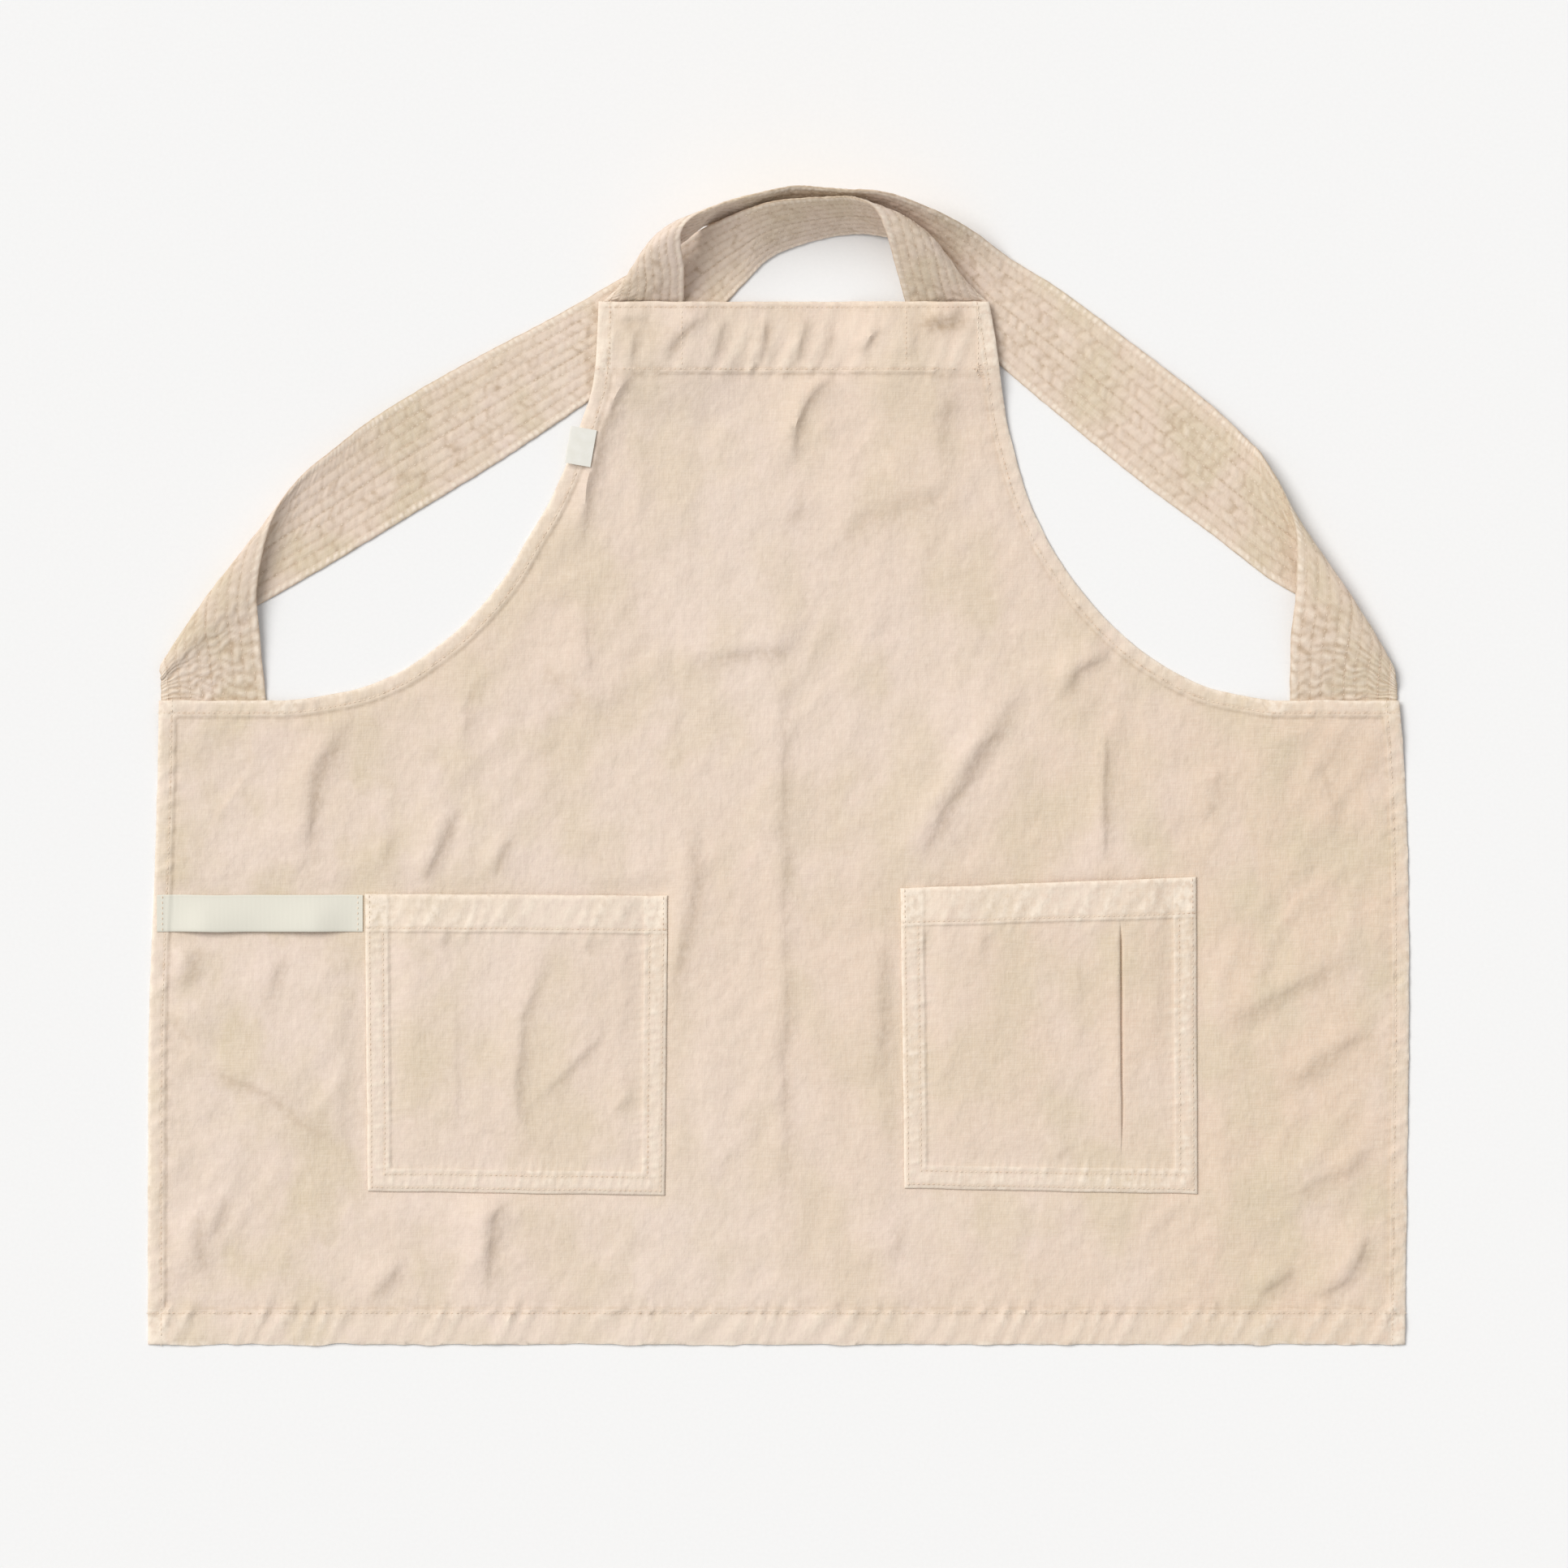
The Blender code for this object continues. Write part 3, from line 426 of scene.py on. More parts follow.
def even(line, step):
    """A line of points, or of rows whose first columns are points, at even steps along it."""
    line = np.asarray(line, dtype=float)
    reach = line[:, : min(3, line.shape[1])]
    along = np.concatenate(([0.0], np.cumsum(np.linalg.norm(np.diff(reach, axis=0), axis=1))))
    wanted = np.linspace(0.0, along[-1], max(2, round(along[-1] / step) + 1))
    return np.column_stack([np.interp(wanted, along, column) for column in line.T])


def nearest_on(points, line):
    """Each point's distance to a line, positive on its left, and how far along the line it lies."""
    best = np.full(len(points), np.inf)
    signed = np.zeros(len(points))
    along_line = np.zeros(len(points))
    gone = 0.0
    for start, end in zip(line[:-1], line[1:]):
        ahead = end - start
        length = np.hypot(*ahead)
        share = np.clip(((points - start) @ ahead) / length**2, 0.0, 1.0)
        away = points - (start + share[:, None] * ahead)
        distance = np.hypot(away[:, 0], away[:, 1])
        nearer = distance < best
        turn = np.sign(ahead[0] * away[:, 1] - ahead[1] * away[:, 0])
        best = np.where(nearer, distance, best)
        signed = np.where(nearer, distance * turn, signed)
        along_line = np.where(nearer, gone + share * length, along_line)
        gone += length
    return signed, along_line


def inside(points, outline):
    """Whether each point lies inside a closed outline."""
    hits = np.zeros(len(points), dtype=bool)
    for start, end in zip(outline, np.roll(outline, -1, axis=0)):
        spans = (start[1] > points[:, 1]) != (end[1] > points[:, 1])
        rise = end[1] - start[1] if end[1] != start[1] else 1.0
        cross = start[0] + (points[:, 1] - start[1]) / rise * (end[0] - start[0])
        hits ^= spans & (points[:, 0] < cross)
    return hits


def inset_line(line, width):
    """A line moved to the left of its direction, into the cloth."""
    ahead = np.gradient(line, axis=0)
    length = np.hypot(ahead[:, 0], ahead[:, 1])[:, None]
    return line + np.column_stack((-ahead[:, 1], ahead[:, 0])) / length * width


def armhole(side):
    """The armhole's edge from the bib's corner down to the strap's root."""
    column = "left_out" if side < 0 else "right_out"
    corner = plan_x(side)
    root = plan_x(2.0 * side)
    points = []
    for row in rows_of(ARMHOLE_COLUMNS, ARMHOLE):
        x = corner + (root - corner) * row[column]
        points.append((x, BODY_HIGH.y - (BODY_LENGTH - SIDE_LENGTH) * row["down"]))
    points.append((root - side * LIFT_MARGIN, SIDE_TOP))
    return eased(points, 4)


def side_edge(side):
    """The side's edge from the strap's root down to the foot."""
    column = "left_bow" if side < 0 else "right_bow"
    top = side * SIDE_TOP_WIDTH / 2.0
    foot = side * SKIRT_WIDTH / 2.0 + FOOT_SHIFT
    points = []
    for row in rows_of(SIDE_COLUMNS, SIDE_BOWS):
        x = top + (foot - top) * row["down"] + side * row[column] * MM
        points.append((x, SIDE_TOP - SIDE_LENGTH * row["down"]))
    return eased(points, 6)


def body_edges():
    """The body's edges in order round it, each a row under EDGE_COLUMNS."""
    half_top = SIDE_TOP_WIDTH / 2.0
    right_side = side_edge(1.0)[::-1]
    left_side = side_edge(-1.0)
    right_hole = armhole(1.0)[::-1]
    left_hole = armhole(-1.0)
    table = (
        ((left_side[-1], right_side[0]), FOOT_HEM, 1.00, 0.0160, -0.55),
        (right_side, SIDE_HEM, 0.55, 0.0120, 0.55),
        (((half_top, SIDE_TOP), right_hole[0]), ARMHOLE_BAND, 0.40, 0.0110, -0.55),
        (right_hole, ARMHOLE_BAND, 0.50, 0.0110, 0.0),
        (((plan_x(1.0), BODY_HIGH.y), (plan_x(-1.0), BODY_HIGH.y)), BIB_HEM, 0.70, 0.0150, -0.40),
        (left_hole, ARMHOLE_BAND, 0.50, 0.0110, 0.0),
        ((left_hole[-1], (-half_top, SIDE_TOP)), ARMHOLE_BAND, 0.40, 0.0110, -0.55),
        (left_side, SIDE_HEM, 0.55, 0.0120, 0.55),
    )
    edges = rows_of(EDGE_COLUMNS, table)
    for seed, edge in enumerate(edges):
        edge["line"] = np.array(edge["line"], dtype=float)
        edge["seed"] = 10.0 + seed
    return edges


def waved(line, seed, height):
    """An edge line with the small waves that washed cloth has, and its ends left in place."""
    moved = inset_line(line, 1.0) - line
    along = np.arange(len(line)) * HEM_CELL
    level = along * 0.0
    wave = 1.1 * rough(along / 0.021, level, seed) + 0.5 * rough(along / 0.011, level, seed + 0.5)
    fade = smooth(between(np.minimum(along, along[::-1]), 0.0, 0.02))
    return line + moved * (height * wave * fade)[:, None]


def pocket_frame(row):
    """A pocket's middle and the directions across and up it."""
    middle_x = row["side"] * (SKIRT_WIDTH / 2.0 - POCKET_INSET - POCKET_WIDTH / 2.0)
    middle_y = SIDE_TOP - POCKET_DROP - POCKET_HEIGHT / 2.0
    return np.array((middle_x, middle_y)), *turned(row["turn"])


def calm(points):
    """0 where a pocket or the towel loop is sewn on and the cloth lies flat, and 1 away from them."""
    free = np.ones(len(points))
    for row in rows_of(POCKET_COLUMNS, POCKETS):
        middle, across, upward = pocket_frame(row)
        aside = np.abs((points - middle) @ across) - POCKET_WIDTH / 2.0
        above = np.abs((points - middle) @ upward) - POCKET_HEIGHT / 2.0
        free *= smooth(between(np.maximum(aside, above), 0.0, 0.6 * LIFT_RAMP))
    above = np.abs(points[:, 1] - (LOOP_LOW.y + LOOP_HIGH.y) / 2.0) - (LOOP_HIGH.y - LOOP_LOW.y) / 2.0
    aside = points[:, 0] - LOOP_HIGH.x
    return free * smooth(between(np.maximum(aside, above), 0.0, 0.6 * LIFT_RAMP))


def wobble(points):
    """How far a fold wanders from its drawn line."""
    x, y = points.T / WANDER_CELL
    return FOLD_WANDER * np.column_stack((rough(x, y, 91.0), rough(x, y, 95.0)))


def fold_rows():
    """Rows of points along the folds, so that the mesh follows their crests."""
    rows = []
    for places, _, _ in (*BODY_FOLDS, *BIB_HEM_FOLDS):
        line = even(eased(np.array(places) * CM, 6), 3.2 * MM)
        for away in (-3.0, -1.2, 0.4, 2.0):
            row = inset_line(line, away * MM)
            rows.append(row - wobble(row))
    return np.vstack(rows)


def fold_relief(points, folds):
    """Soft folds that rise slowly on one side of a line and fall steeply on the other: height, and flank,
    the share of painted shade down the steep side.
    """
    height = np.zeros(len(points))
    flank = np.zeros(len(points))
    points = points + wobble(points)
    for places, rise, steep in folds:
        line = eased(np.array(places) * CM, 6)
        away, along = nearest_on(points, line)
        total = np.sum(np.linalg.norm(np.diff(line, axis=0), axis=1))
        ends = smooth(between(np.minimum(along, total - along), 0.0, 0.35 * total))
        crest = away + 0.7 * steep * MM
        spread = np.where(crest > 0.0, steep * MM, FOLD_BACK * steep * MM)
        height += rise * MM * ends * (0.75 * hump(crest, spread) + 0.40 * hump(crest, 0.42 * spread))
        # Painted shade: the colour darkens down the fold's steep side, where less light falls.
        shade = hump(away - 0.1 * steep * MM, 0.55 * steep * MM)
        flank = np.maximum(flank, min(rise, 1.0) * ends * shade)
    return height, flank


def ramp(away):
    """1 up to a strap's margin, falling softly to 0 over its ramp."""
    return 1.0 - smooth(between(away, STRAP_MARGIN, STRAP_MARGIN + STRAP_RAMP))


def box_lift(points, edge, width, top, depth):
    """The ramp round a strap's sewn end, from its edge across by its width and from its top down."""
    x, y = points.T
    left = min(edge, edge + width)
    right = max(edge, edge + width)
    aside = np.maximum(np.maximum(left - x, x - right), 0.0)
    above = np.maximum(np.maximum(top - depth - y, y - top), 0.0)
    return ramp(np.hypot(aside, above))


def strap_lift(points):
    """How far the straps under the cloth hold it up."""
    lone = STRAP_CLOTH + 2.0 * SEAT
    double = STRAP_RISE * LEFT_STRAP[-1][STRAP_COLUMNS.index("low")] + STRAP_CLOTH + 3.0 * SEAT
    height = np.zeros(len(points))
    for side in (-1.0, 1.0):
        outer = side * SIDE_TOP_WIDTH / 2.0
        root_width = plan_x(2.0 * side) - outer
        root = box_lift(points, outer, root_width, SIDE_TOP, SEWN_AT_SIDE)
        bib = box_lift(points, plan_x(side), -side * STRAP_BIB_WIDTH, BODY_HIGH.y, SEWN_AT_BIB)
        height = np.maximum(height, np.maximum(lone * root, double * bib))
    straps = ((LEFT_STRAP, LEFT_UNDER_BIB, 1.0), (RIGHT_STRAP, RIGHT_UNDER_BIB, -1.0))
    for table, under, strap_side in straps:
        rows = rows_of(STRAP_COLUMNS, table)[under[0] : under[1] + 1]
        low_edge = np.array([(plan_x(row["s"]), plan_y(row["t"])) for row in rows])
        away = np.maximum(-strap_side * nearest_on(points, low_edge)[0], 0.0)
        on_bib = between(points[:, 1], SIDE_TOP + ARMHOLE_BAND, SIDE_TOP + LIFT_RAMP)
        height = np.maximum(height, lone * ramp(away) * on_bib)
    return height


def hem_pucker(away, along, hem, wave, lean, seed):
    """Slanting gathers across a hem and a little way into the cloth, and the stitches' own dimples."""
    slant = along / wave + lean * away / wave
    drift = rough(along / 0.040, along * 0.0, seed)
    rise = ripple(2.0 * math.pi * (slant + 1.3 * drift))
    uneven = between(rough(slant * 0.62, away / 0.08, seed + 3.0), -0.45, 0.55)
    stitches = hem - STITCH_INSET
    within = 0.40 + 0.60 * between(away, 0.0, 0.7 * stitches)
    beyond = 1.0 - between(away, hem, hem + 0.016)
    gathers = rise**1.3 * (0.25 + 1.15 * uneven) * np.where(away < hem, within, beyond**2)
    dimples = rough(along / 0.0062 + 0.3 * drift, away / 0.006, seed + 6.0)
    return gathers + dimples * hump(away - stitches, 0.0045)


def wrinkles(points):
    """Random creases of washed linen: wide swells, slanting ridges and fine crumple."""
    x, y = points.T
    across = 0.82 * x - 0.57 * y
    along = 0.57 * x + 0.82 * y
    swell = 1.3 * rough(x / 0.11, y / 0.14, 1.0) + 0.8 * rough(x / 0.048, y / 0.064, 2.0)
    ridge = np.clip(1.0 - 2.4 * np.abs(rough(across / 0.026, along / 0.075, 3.0)), 0.0, 1.0)
    where = between(rough(x / 0.085, y / 0.085, 4.0), -0.25, 0.40)
    crease = np.clip(1.0 - 3.0 * np.abs(rough(x / 0.034 + 0.4 * y / 0.034, y / 0.042, 7.0)), 0.0, 1.0)
    some = between(rough(x / 0.06, y / 0.06, 8.0), -0.15, 0.5)
    crumple = 0.36 * rough(across / 0.011, along / 0.017, 5.0) + 0.50 * rough(x / 0.020, y / 0.022, 6.0)
    return MM * (0.6 + 0.55 * swell + 0.8 * ridge**1.5 * where + 0.55 * crease**2 * some + crumple)


def body_relief(points, cloth):
    """At places of the plan: the cloth's under height, its thickness, its pale wear with painted highlight,
    and its painted shade.
    """
    hem_share, narrow, corner, groove, pucker = np.zeros((5, len(points)))
    edge_away, clear = np.full((2, len(points)), np.inf)
    for edge in body_edges():
        away, along = nearest_on(points, edge["line"])
        away = np.abs(away)
        hem = edge["hem"]
        share = 1.0 - between(away, hem, hem + HEM_STEP)
        corner = np.maximum(corner, hem_share * share)
        hem_share = np.maximum(hem_share, share)
        narrow = np.maximum(narrow, 0.16 * share * ARMHOLE_BAND / hem)
        groove = np.maximum(groove, hump(away - (hem - STITCH_INSET), 0.0012))
        if hem == BIB_HEM:
            groove = np.maximum(groove, hump(away - TOP_SEAM, 0.0010))
        gathers = hem_pucker(away, along, hem, edge["wave"], edge["lean"], edge["seed"])
        pucker = np.maximum(pucker, edge["pucker"] * gathers)
        edge_away = np.minimum(edge_away, away)
        clear = np.minimum(clear, away - hem)
    free = calm(points)
    open_cloth = smooth(between(clear, -HEM_STEP, 0.4 * LIFT_RAMP))
    folds, flank = fold_relief(points, BODY_FOLDS)
    hem_folds, hem_flank = fold_relief(points, BIB_HEM_FOLDS)
    folds = cloth.fold * (folds * (0.35 + 0.65 * open_cloth) + hem_folds)
    soft = wrinkles(points) * cloth.wrinkle * (0.4 + 0.6 * open_cloth)
    under = np.maximum(free * (folds + soft + cloth.pucker * pucker), 0.0) + strap_lift(points)
    thick = (cloth.single + (cloth.hem - cloth.single) * hem_share) * rounded(edge_away, EDGE_ROUND, 0.30)
    thick = thick - GROOVE_DEPTH * cloth.hem * groove
    # Pale wear on the narrow bands, where hems cross and along the edges, and painted highlight on the
    # crests of the hems' gathers.
    worn = narrow + 0.35 * corner + 0.60 * hump(edge_away, 0.0020) + 0.36 * pucker * hem_share
    worn = np.clip(worn, 0.0, 1.0)
    # deep is painted shade: dots along the stitch grooves, the step down from each hem, the dips where the
    # straps pull the bib in, and the folds' steep sides.
    dots = 0.15 + 0.85 * between(rough(*(points.T / (3.0 * MM)), 23.0), -0.10, 0.25)
    deep = 0.75 * groove * dots + 0.40 * hump(clear - HEM_STEP, 0.0015)
    for place, half, share in PULLED_SHADE:
        away = (points - np.array(place) * CM) / (np.array(half) * CM)
        deep = deep + share * hump(np.hypot(away[:, 0], away[:, 1]), 1.0)
    deep = np.clip(deep + FOLD_SHADE * free * (flank + hem_flank), 0.0, 1.0)
    return under, thick, worn, deep


def body_upper(points, cloth):
    """The height of the body's upper side at places of its plan."""
    under, thick = body_relief(points, cloth)[:2]
    return under + thick


def body_plan():
    """The body's plan as triangles, with rows of points along the hems and a lattice between them."""
    edges = body_edges()
    border = []
    hem_rows = []
    for edge in edges:
        hem = edge["hem"]
        height = FOOT_RIPPLE if hem == FOOT_HEM else EDGE_RIPPLE
        fine = waved(even(edge["line"], HEM_CELL), 10.0 + edge["seed"], height)
        border.append(fine[:-1])
        stitches = hem - STITCH_INSET
        depths = (0.6 * MM, 1.6 * MM, 3.2 * MM, stitches - 2.4 * MM, stitches - 1.1 * MM, stitches)
        if hem == BIB_HEM:
            depths = (*depths, TOP_SEAM, TOP_SEAM + 1.2 * MM)
        for depth in (*depths, stitches + 1.1 * MM, hem, hem + HEM_STEP, hem + 3.2 * MM):
            row = inset_line(fine, depth)
            others = [np.abs(nearest_on(row, other["line"])[0]) for other in edges]
            hem_rows.append(row[np.min(others, axis=0) > 0.9 * depth])
    outline = np.vstack(border)
    hem_points = np.vstack(hem_rows)
    hem_points = hem_points[inside(hem_points, outline)]
    hem_points = thinned(hem_points, 0.45 * MM)
    creases = fold_rows()
    creases = creases[inside(creases, outline)]
    creases = creases[far_from(creases, np.vstack((outline, hem_points)), 1.3 * MM)]
    hem_points = np.vstack((hem_points, thinned(creases, 1.2 * MM)))
    rise = CELL * math.sqrt(0.75)
    columns = np.arange(-SKIRT_WIDTH / 2.0, SKIRT_WIDTH / 2.0, CELL)
    rows = np.arange(FOOT, BODY_HIGH.y, rise)
    lattice = np.vstack([
        np.column_stack((columns + 0.5 * CELL * (j % 2), columns * 0.0 + y))
        for j, y in enumerate(rows)
    ])
    lattice = lattice[inside(lattice, outline)]
    lattice = lattice[far_from(lattice, np.vstack((outline, hem_points)), 0.62 * CELL)]
    every = np.vstack((outline, hem_points, lattice))
    links = [(i, (i + 1) % len(outline)) for i in range(len(outline))]
    made = delaunay_2d_cdt([Vector(p) for p in every], links, [list(range(len(outline)))], 1, 1e-7)
    return np.array([tuple(p) for p in made[0]]), [tuple(face) for face in made[2]], outline


def tree_of(points):
    """A search tree over places of the plan."""
    tree = kdtree.KDTree(len(points))
    for i, (x, y) in enumerate(points):
        tree.insert((x, y, 0.0), i)
    tree.balance()
    return tree


def far_from(points, others, distance):
    """Which points keep a distance from all the others."""
    tree = tree_of(others)
    return np.array([tree.find((x, y, 0.0))[2] > distance for x, y in points])


def thinned(points, distance):
    """The points without those too close to an earlier one."""
    tree = tree_of(points)
    keep = np.ones(len(points), dtype=bool)
    for i, (x, y) in enumerate(points):
        if keep[i]:
            for _, other, _ in tree.find_range((x, y, 0.0), distance):
                if other > i:
                    keep[other] = False
    return points[keep]


def rim_of(faces):
    """The edges that only one face has, in that face's direction."""
    seen = set()
    for face in faces:
        seen.update(zip(face, face[1:] + face[:1]))
    return [edge for edge in seen if (edge[1], edge[0]) not in seen]


def grid_faces(rows, columns):
    """The four-sided faces of a grid of points."""
    corner = (np.arange(rows - 1)[:, None] * columns + np.arange(columns - 1)).ravel()
    faces = np.column_stack((corner, corner + 1, corner + columns + 1, corner + columns))
    return [tuple(face) for face in faces.tolist()]


def mesh_object(name, points, faces, finish):
    """A new smooth-shaded mesh at the origin, with its material."""
    mesh = bpy.data.meshes.new(name)
    mesh.from_pydata(np.asarray(points, dtype=float).tolist(), [], faces)
    mesh.materials.append(finish)
    mesh.shade_smooth()
    mesh.update()
    made = bpy.data.objects.new(name, mesh)
    bpy.context.scene.collection.objects.link(made)
    return made


def sheet_object(name, low, high, faces, finish, weave, marks):
    """A closed sheet between two layers of points, with its weave's UV map and its marks as attributes."""
    count = len(low)
    solid = [tuple(reversed(face)) for face in faces]
    solid += [tuple(index + count for index in face) for face in faces]
    solid += [(start, end, end + count, start + count) for start, end in rim_of(faces)]
    made = mesh_object(name, np.vstack((low, high)), solid, finish)
    mesh = made.data
    corner = np.zeros(len(mesh.loops), dtype=np.int64)
    mesh.loops.foreach_get("vertex_index", corner)
    places = np.vstack((weave, weave))[corner]
    mesh.uv_layers.new(name="Weave").data.foreach_set("uv", places.astype(np.float32).ravel())
    for mark, values in marks.items():
        attribute = mesh.attributes.new(mark, "FLOAT", "POINT")
        attribute.data.foreach_set("value", np.concatenate((values, values)).astype(np.float32))
    pick(made)
    bpy.ops.object.shade_smooth_by_angle(angle=math.radians(50.0))
    return made


def pick(made):
    """Leaves one object selected and active."""
    bpy.ops.object.select_all(action="DESELECT")
    made.select_set(True)
    bpy.context.view_layer.objects.active = made


def face_out(made):
    """Turns the faces outwards, as the sheet's direction may run either way."""
    pick(made)
    bpy.ops.object.mode_set(mode="EDIT")
    bpy.ops.mesh.select_all(action="SELECT")
    bpy.ops.mesh.normals_make_consistent(inside=False)
    bpy.ops.object.mode_set(mode="OBJECT")


def dress(made, node):
    """The piece rides with the apron in the place of its CAD node."""
    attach(made, "root")
    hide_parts(node)


class Nodes:
    """Shader nodes of one material, added and joined as they are named."""

    def __init__(self, name, roughness, sheen):
        self.material = bpy.data.materials.new(name)
        self.material.use_nodes = True
        self.tree = self.material.node_tree
        self.shader = self.tree.nodes["Principled BSDF"]
        self.shader.inputs["Roughness"].default_value = roughness
        self.shader.inputs["Specular IOR Level"].default_value = 0.25
        self.shader.inputs["Sheen Weight"].default_value = sheen
        self.shader.inputs["Sheen Roughness"].default_value = 0.5

    def add(self, kind, output, inputs, **settings):
        """A node with its settings and inputs, each a value or another node's output."""
        made = self.tree.nodes.new("ShaderNode" + kind)
        for name, value in settings.items():
            setattr(made, name, value)
        for name, value in inputs.items():
            if isinstance(value, bpy.types.NodeSocket):
                self.tree.links.new(value, made.inputs[name])
            else:
                made.inputs[name].default_value = value
        return made.outputs[output]

    def place(self, source, scale):
        """Texture places, stretched by a scale."""
        if source == "Weave":
            start = self.add("UVMap", "UV", {}, uv_map="Weave")
        else:
            start = self.add("TexCoord", source, {})
        return self.add("Mapping", "Vector", {"Vector": start, "Scale": scale})

    def noise(self, source, scale, detail, low, high):
        """Noise spread from 0 to 1 between two of its levels."""
        place = self.place(source, scale)
        found = self.add("TexNoise", "Fac", {"Vector": place, "Scale": 1.0, "Detail": detail})
        return self.add("MapRange", "Result", {"Value": found, "From Min": low, "From Max": high})

    def waves(self, source, stretch, distortion, direction="X", detail=2.0, scale=ONE_WAVE):
        """Even bands across a direction, bent by a distortion."""
        place = self.place(source, stretch)
        inputs = {"Vector": place, "Scale": scale, "Distortion": distortion, "Detail": detail}
        return self.add("TexWave", "Fac", inputs, bands_direction=direction)

    def math(self, operation, first, second):
        """Two values joined by an operation."""
        return self.add("Math", 0, {0: first, 1: second}, operation=operation)

    def plus(self, first, second):
        """The sum of two values."""
        return self.math("ADD", first, second)

    def times(self, first, second):
        """The product of two values."""
        return self.math("MULTIPLY", first, second)

    def mix(self, share, first, second):
        """The first colour with a share of the second over it."""
        inputs = {0: share}
        for socket, colour in ((6, first), (7, second)):
            plain = not isinstance(colour, bpy.types.NodeSocket)
            inputs[socket] = (*colour, 1.0) if plain else colour
        return self.add("Mix", 2, inputs, data_type="RGBA")

    def mark(self, name):
        """One of the marks that a sheet carries."""
        return self.add("Attribute", "Fac", {}, attribute_name=name)

    def bump(self, height, strength, distance, below=None):
        """The surface's direction, bent by a height over what lies below it."""
        inputs = {"Height": height, "Strength": strength, "Distance": distance}
        if below is not None:
            inputs["Normal"] = below
        return self.add("Bump", "Normal", inputs)

    def finish(self, colour, normal):
        """The material, with its colour and surface joined."""
        self.tree.links.new(colour, self.shader.inputs["Base Color"])
        self.tree.links.new(normal, self.shader.inputs["Normal"])
        return self.material


def weave_bump(nodes, pitch, crumple):
    """Crossing threads over a fine crumple: the surface's direction and the threads' height."""
    turn = 1.0 / pitch
    warp = nodes.waves("Weave", (turn, 4.0, 1.0), 1.4, "X", 1.0)
    weft = nodes.waves("Weave", (4.0, turn, 1.0), 1.4, "Y", 1.0)
    threads = nodes.math("MAXIMUM", warp, weft)
    folds = nodes.noise("Object", (170.0, 120.0, 150.0), 3.0, 0.3, 0.7)
    first = nodes.bump(folds, crumple, 0.8 * MM)
    return nodes.bump(threads, 0.35, 0.10 * MM, first), threads


def linen_material(name, scene, crumple, tan_side, sand_share):
    """Washed linen: blotched dye, more tan towards the right side, slubs both ways, pale wear on seams with
    painted highlight on gathers, and painted shade in grooves, folds and dips.
    """
    colours = scene.apron_colours
    nodes = Nodes(name, 0.88, 0.12)
    normal, threads = weave_bump(nodes, scene.apron_cloth.weave, crumple)
    wide = nodes.noise("Object", (3.6, 3.0, 3.4), 3.0, 0.40, 0.62)
    across = nodes.add("SeparateXYZ", "X", {"Vector": nodes.place("Object", (1.0, 1.0, 1.0))})
    # The colour turns more tan towards the right side (+X).
    side = nodes.add("MapRange", "Result", {"Value": across, "From Min": -0.02, "From Max": 0.34})
    tan = nodes.plus(nodes.times(wide, 0.45), nodes.times(side, tan_side))
    cloth = nodes.mix(tan, colours.pink_linen, colours.tan_linen)
    rose = nodes.noise("Object", (13.0, 8.0, 9.0), 4.0, 0.50, 0.66)
    cloth = nodes.mix(nodes.times(rose, 0.60), cloth, colours.rose_linen)
    patch = nodes.noise("Object", (16.0, 12.0, 14.0), 6.0, 0.47, 0.61)
    small = nodes.noise("Object", (34.0, 27.0, 30.0), 4.0, 0.40, 0.68)
    outward = nodes.times(nodes.math("ABSOLUTE", across, 0.0), 1.1)
    sand = nodes.plus(nodes.times(patch, 0.85), nodes.times(small, 0.34))
    sand = nodes.times(sand, nodes.plus(outward, sand_share))
    cloth = nodes.mix(sand, cloth, colours.sand_linen)
    level_slub = nodes.noise("Weave", (70.0, 1500.0, 1.0), 2.0, 0.34, 0.66)
    upright_slub = nodes.noise("Weave", (1500.0, 70.0, 1.0), 2.0, 0.34, 0.66)
    slub = nodes.times(nodes.plus(level_slub, upright_slub), 0.5)
    cloth = nodes.mix(nodes.times(slub, 0.55), cloth, colours.pale_linen)
    gaps = nodes.math("SUBTRACT", 1.0, threads)
    cloth = nodes.mix(nodes.times(gaps, 0.12), cloth, colours.deep_linen)
    mottle = nodes.noise("Object", (210.0, 210.0, 210.0), 3.0, 0.36, 0.60)
    # Pale wear with painted highlight, from the sheet's mark.
    worn = nodes.times(nodes.mark("worn"), nodes.plus(0.25, nodes.times(mottle, 1.3)))
    cloth = nodes.mix(nodes.times(mottle, 0.09), cloth, colours.deep_linen)
    cloth = nodes.mix(worn, cloth, colours.pale_linen)
    # Painted shade, from the sheet's deep mark.
    deep = nodes.times(nodes.mark("deep"), nodes.plus(0.35, nodes.times(mottle, 0.55)))
    cloth = nodes.mix(deep, cloth, colours.deep_linen)
    return nodes.finish(cloth, normal)


def tape_material(colours):
    """Grosgrain tape: close ribs across its length and a slight shine."""
    nodes = Nodes("tape_grosgrain", 0.55, 0.05)
    ribs = nodes.waves("Weave", (1.0 / (0.7 * MM), 2.0, 1.0), 0.4)
    fibres = nodes.noise("Weave", (900.0, 60.0, 1.0), 2.0, 0.3, 0.7)
    wide = nodes.noise("Object", (9.0, 9.0, 9.0), 2.0, 0.3, 0.7)
    cloth = nodes.mix(nodes.times(wide, 0.30), colours.tape, colours.tape_shade)
    cloth = nodes.mix(nodes.times(fibres, 0.15), cloth, colours.tape_shade)
    cloth = nodes.mix(nodes.times(nodes.mark("deep"), 0.6), cloth, colours.tape_shade)
    return nodes.finish(cloth, nodes.bump(ribs, 0.35, 0.12 * MM))


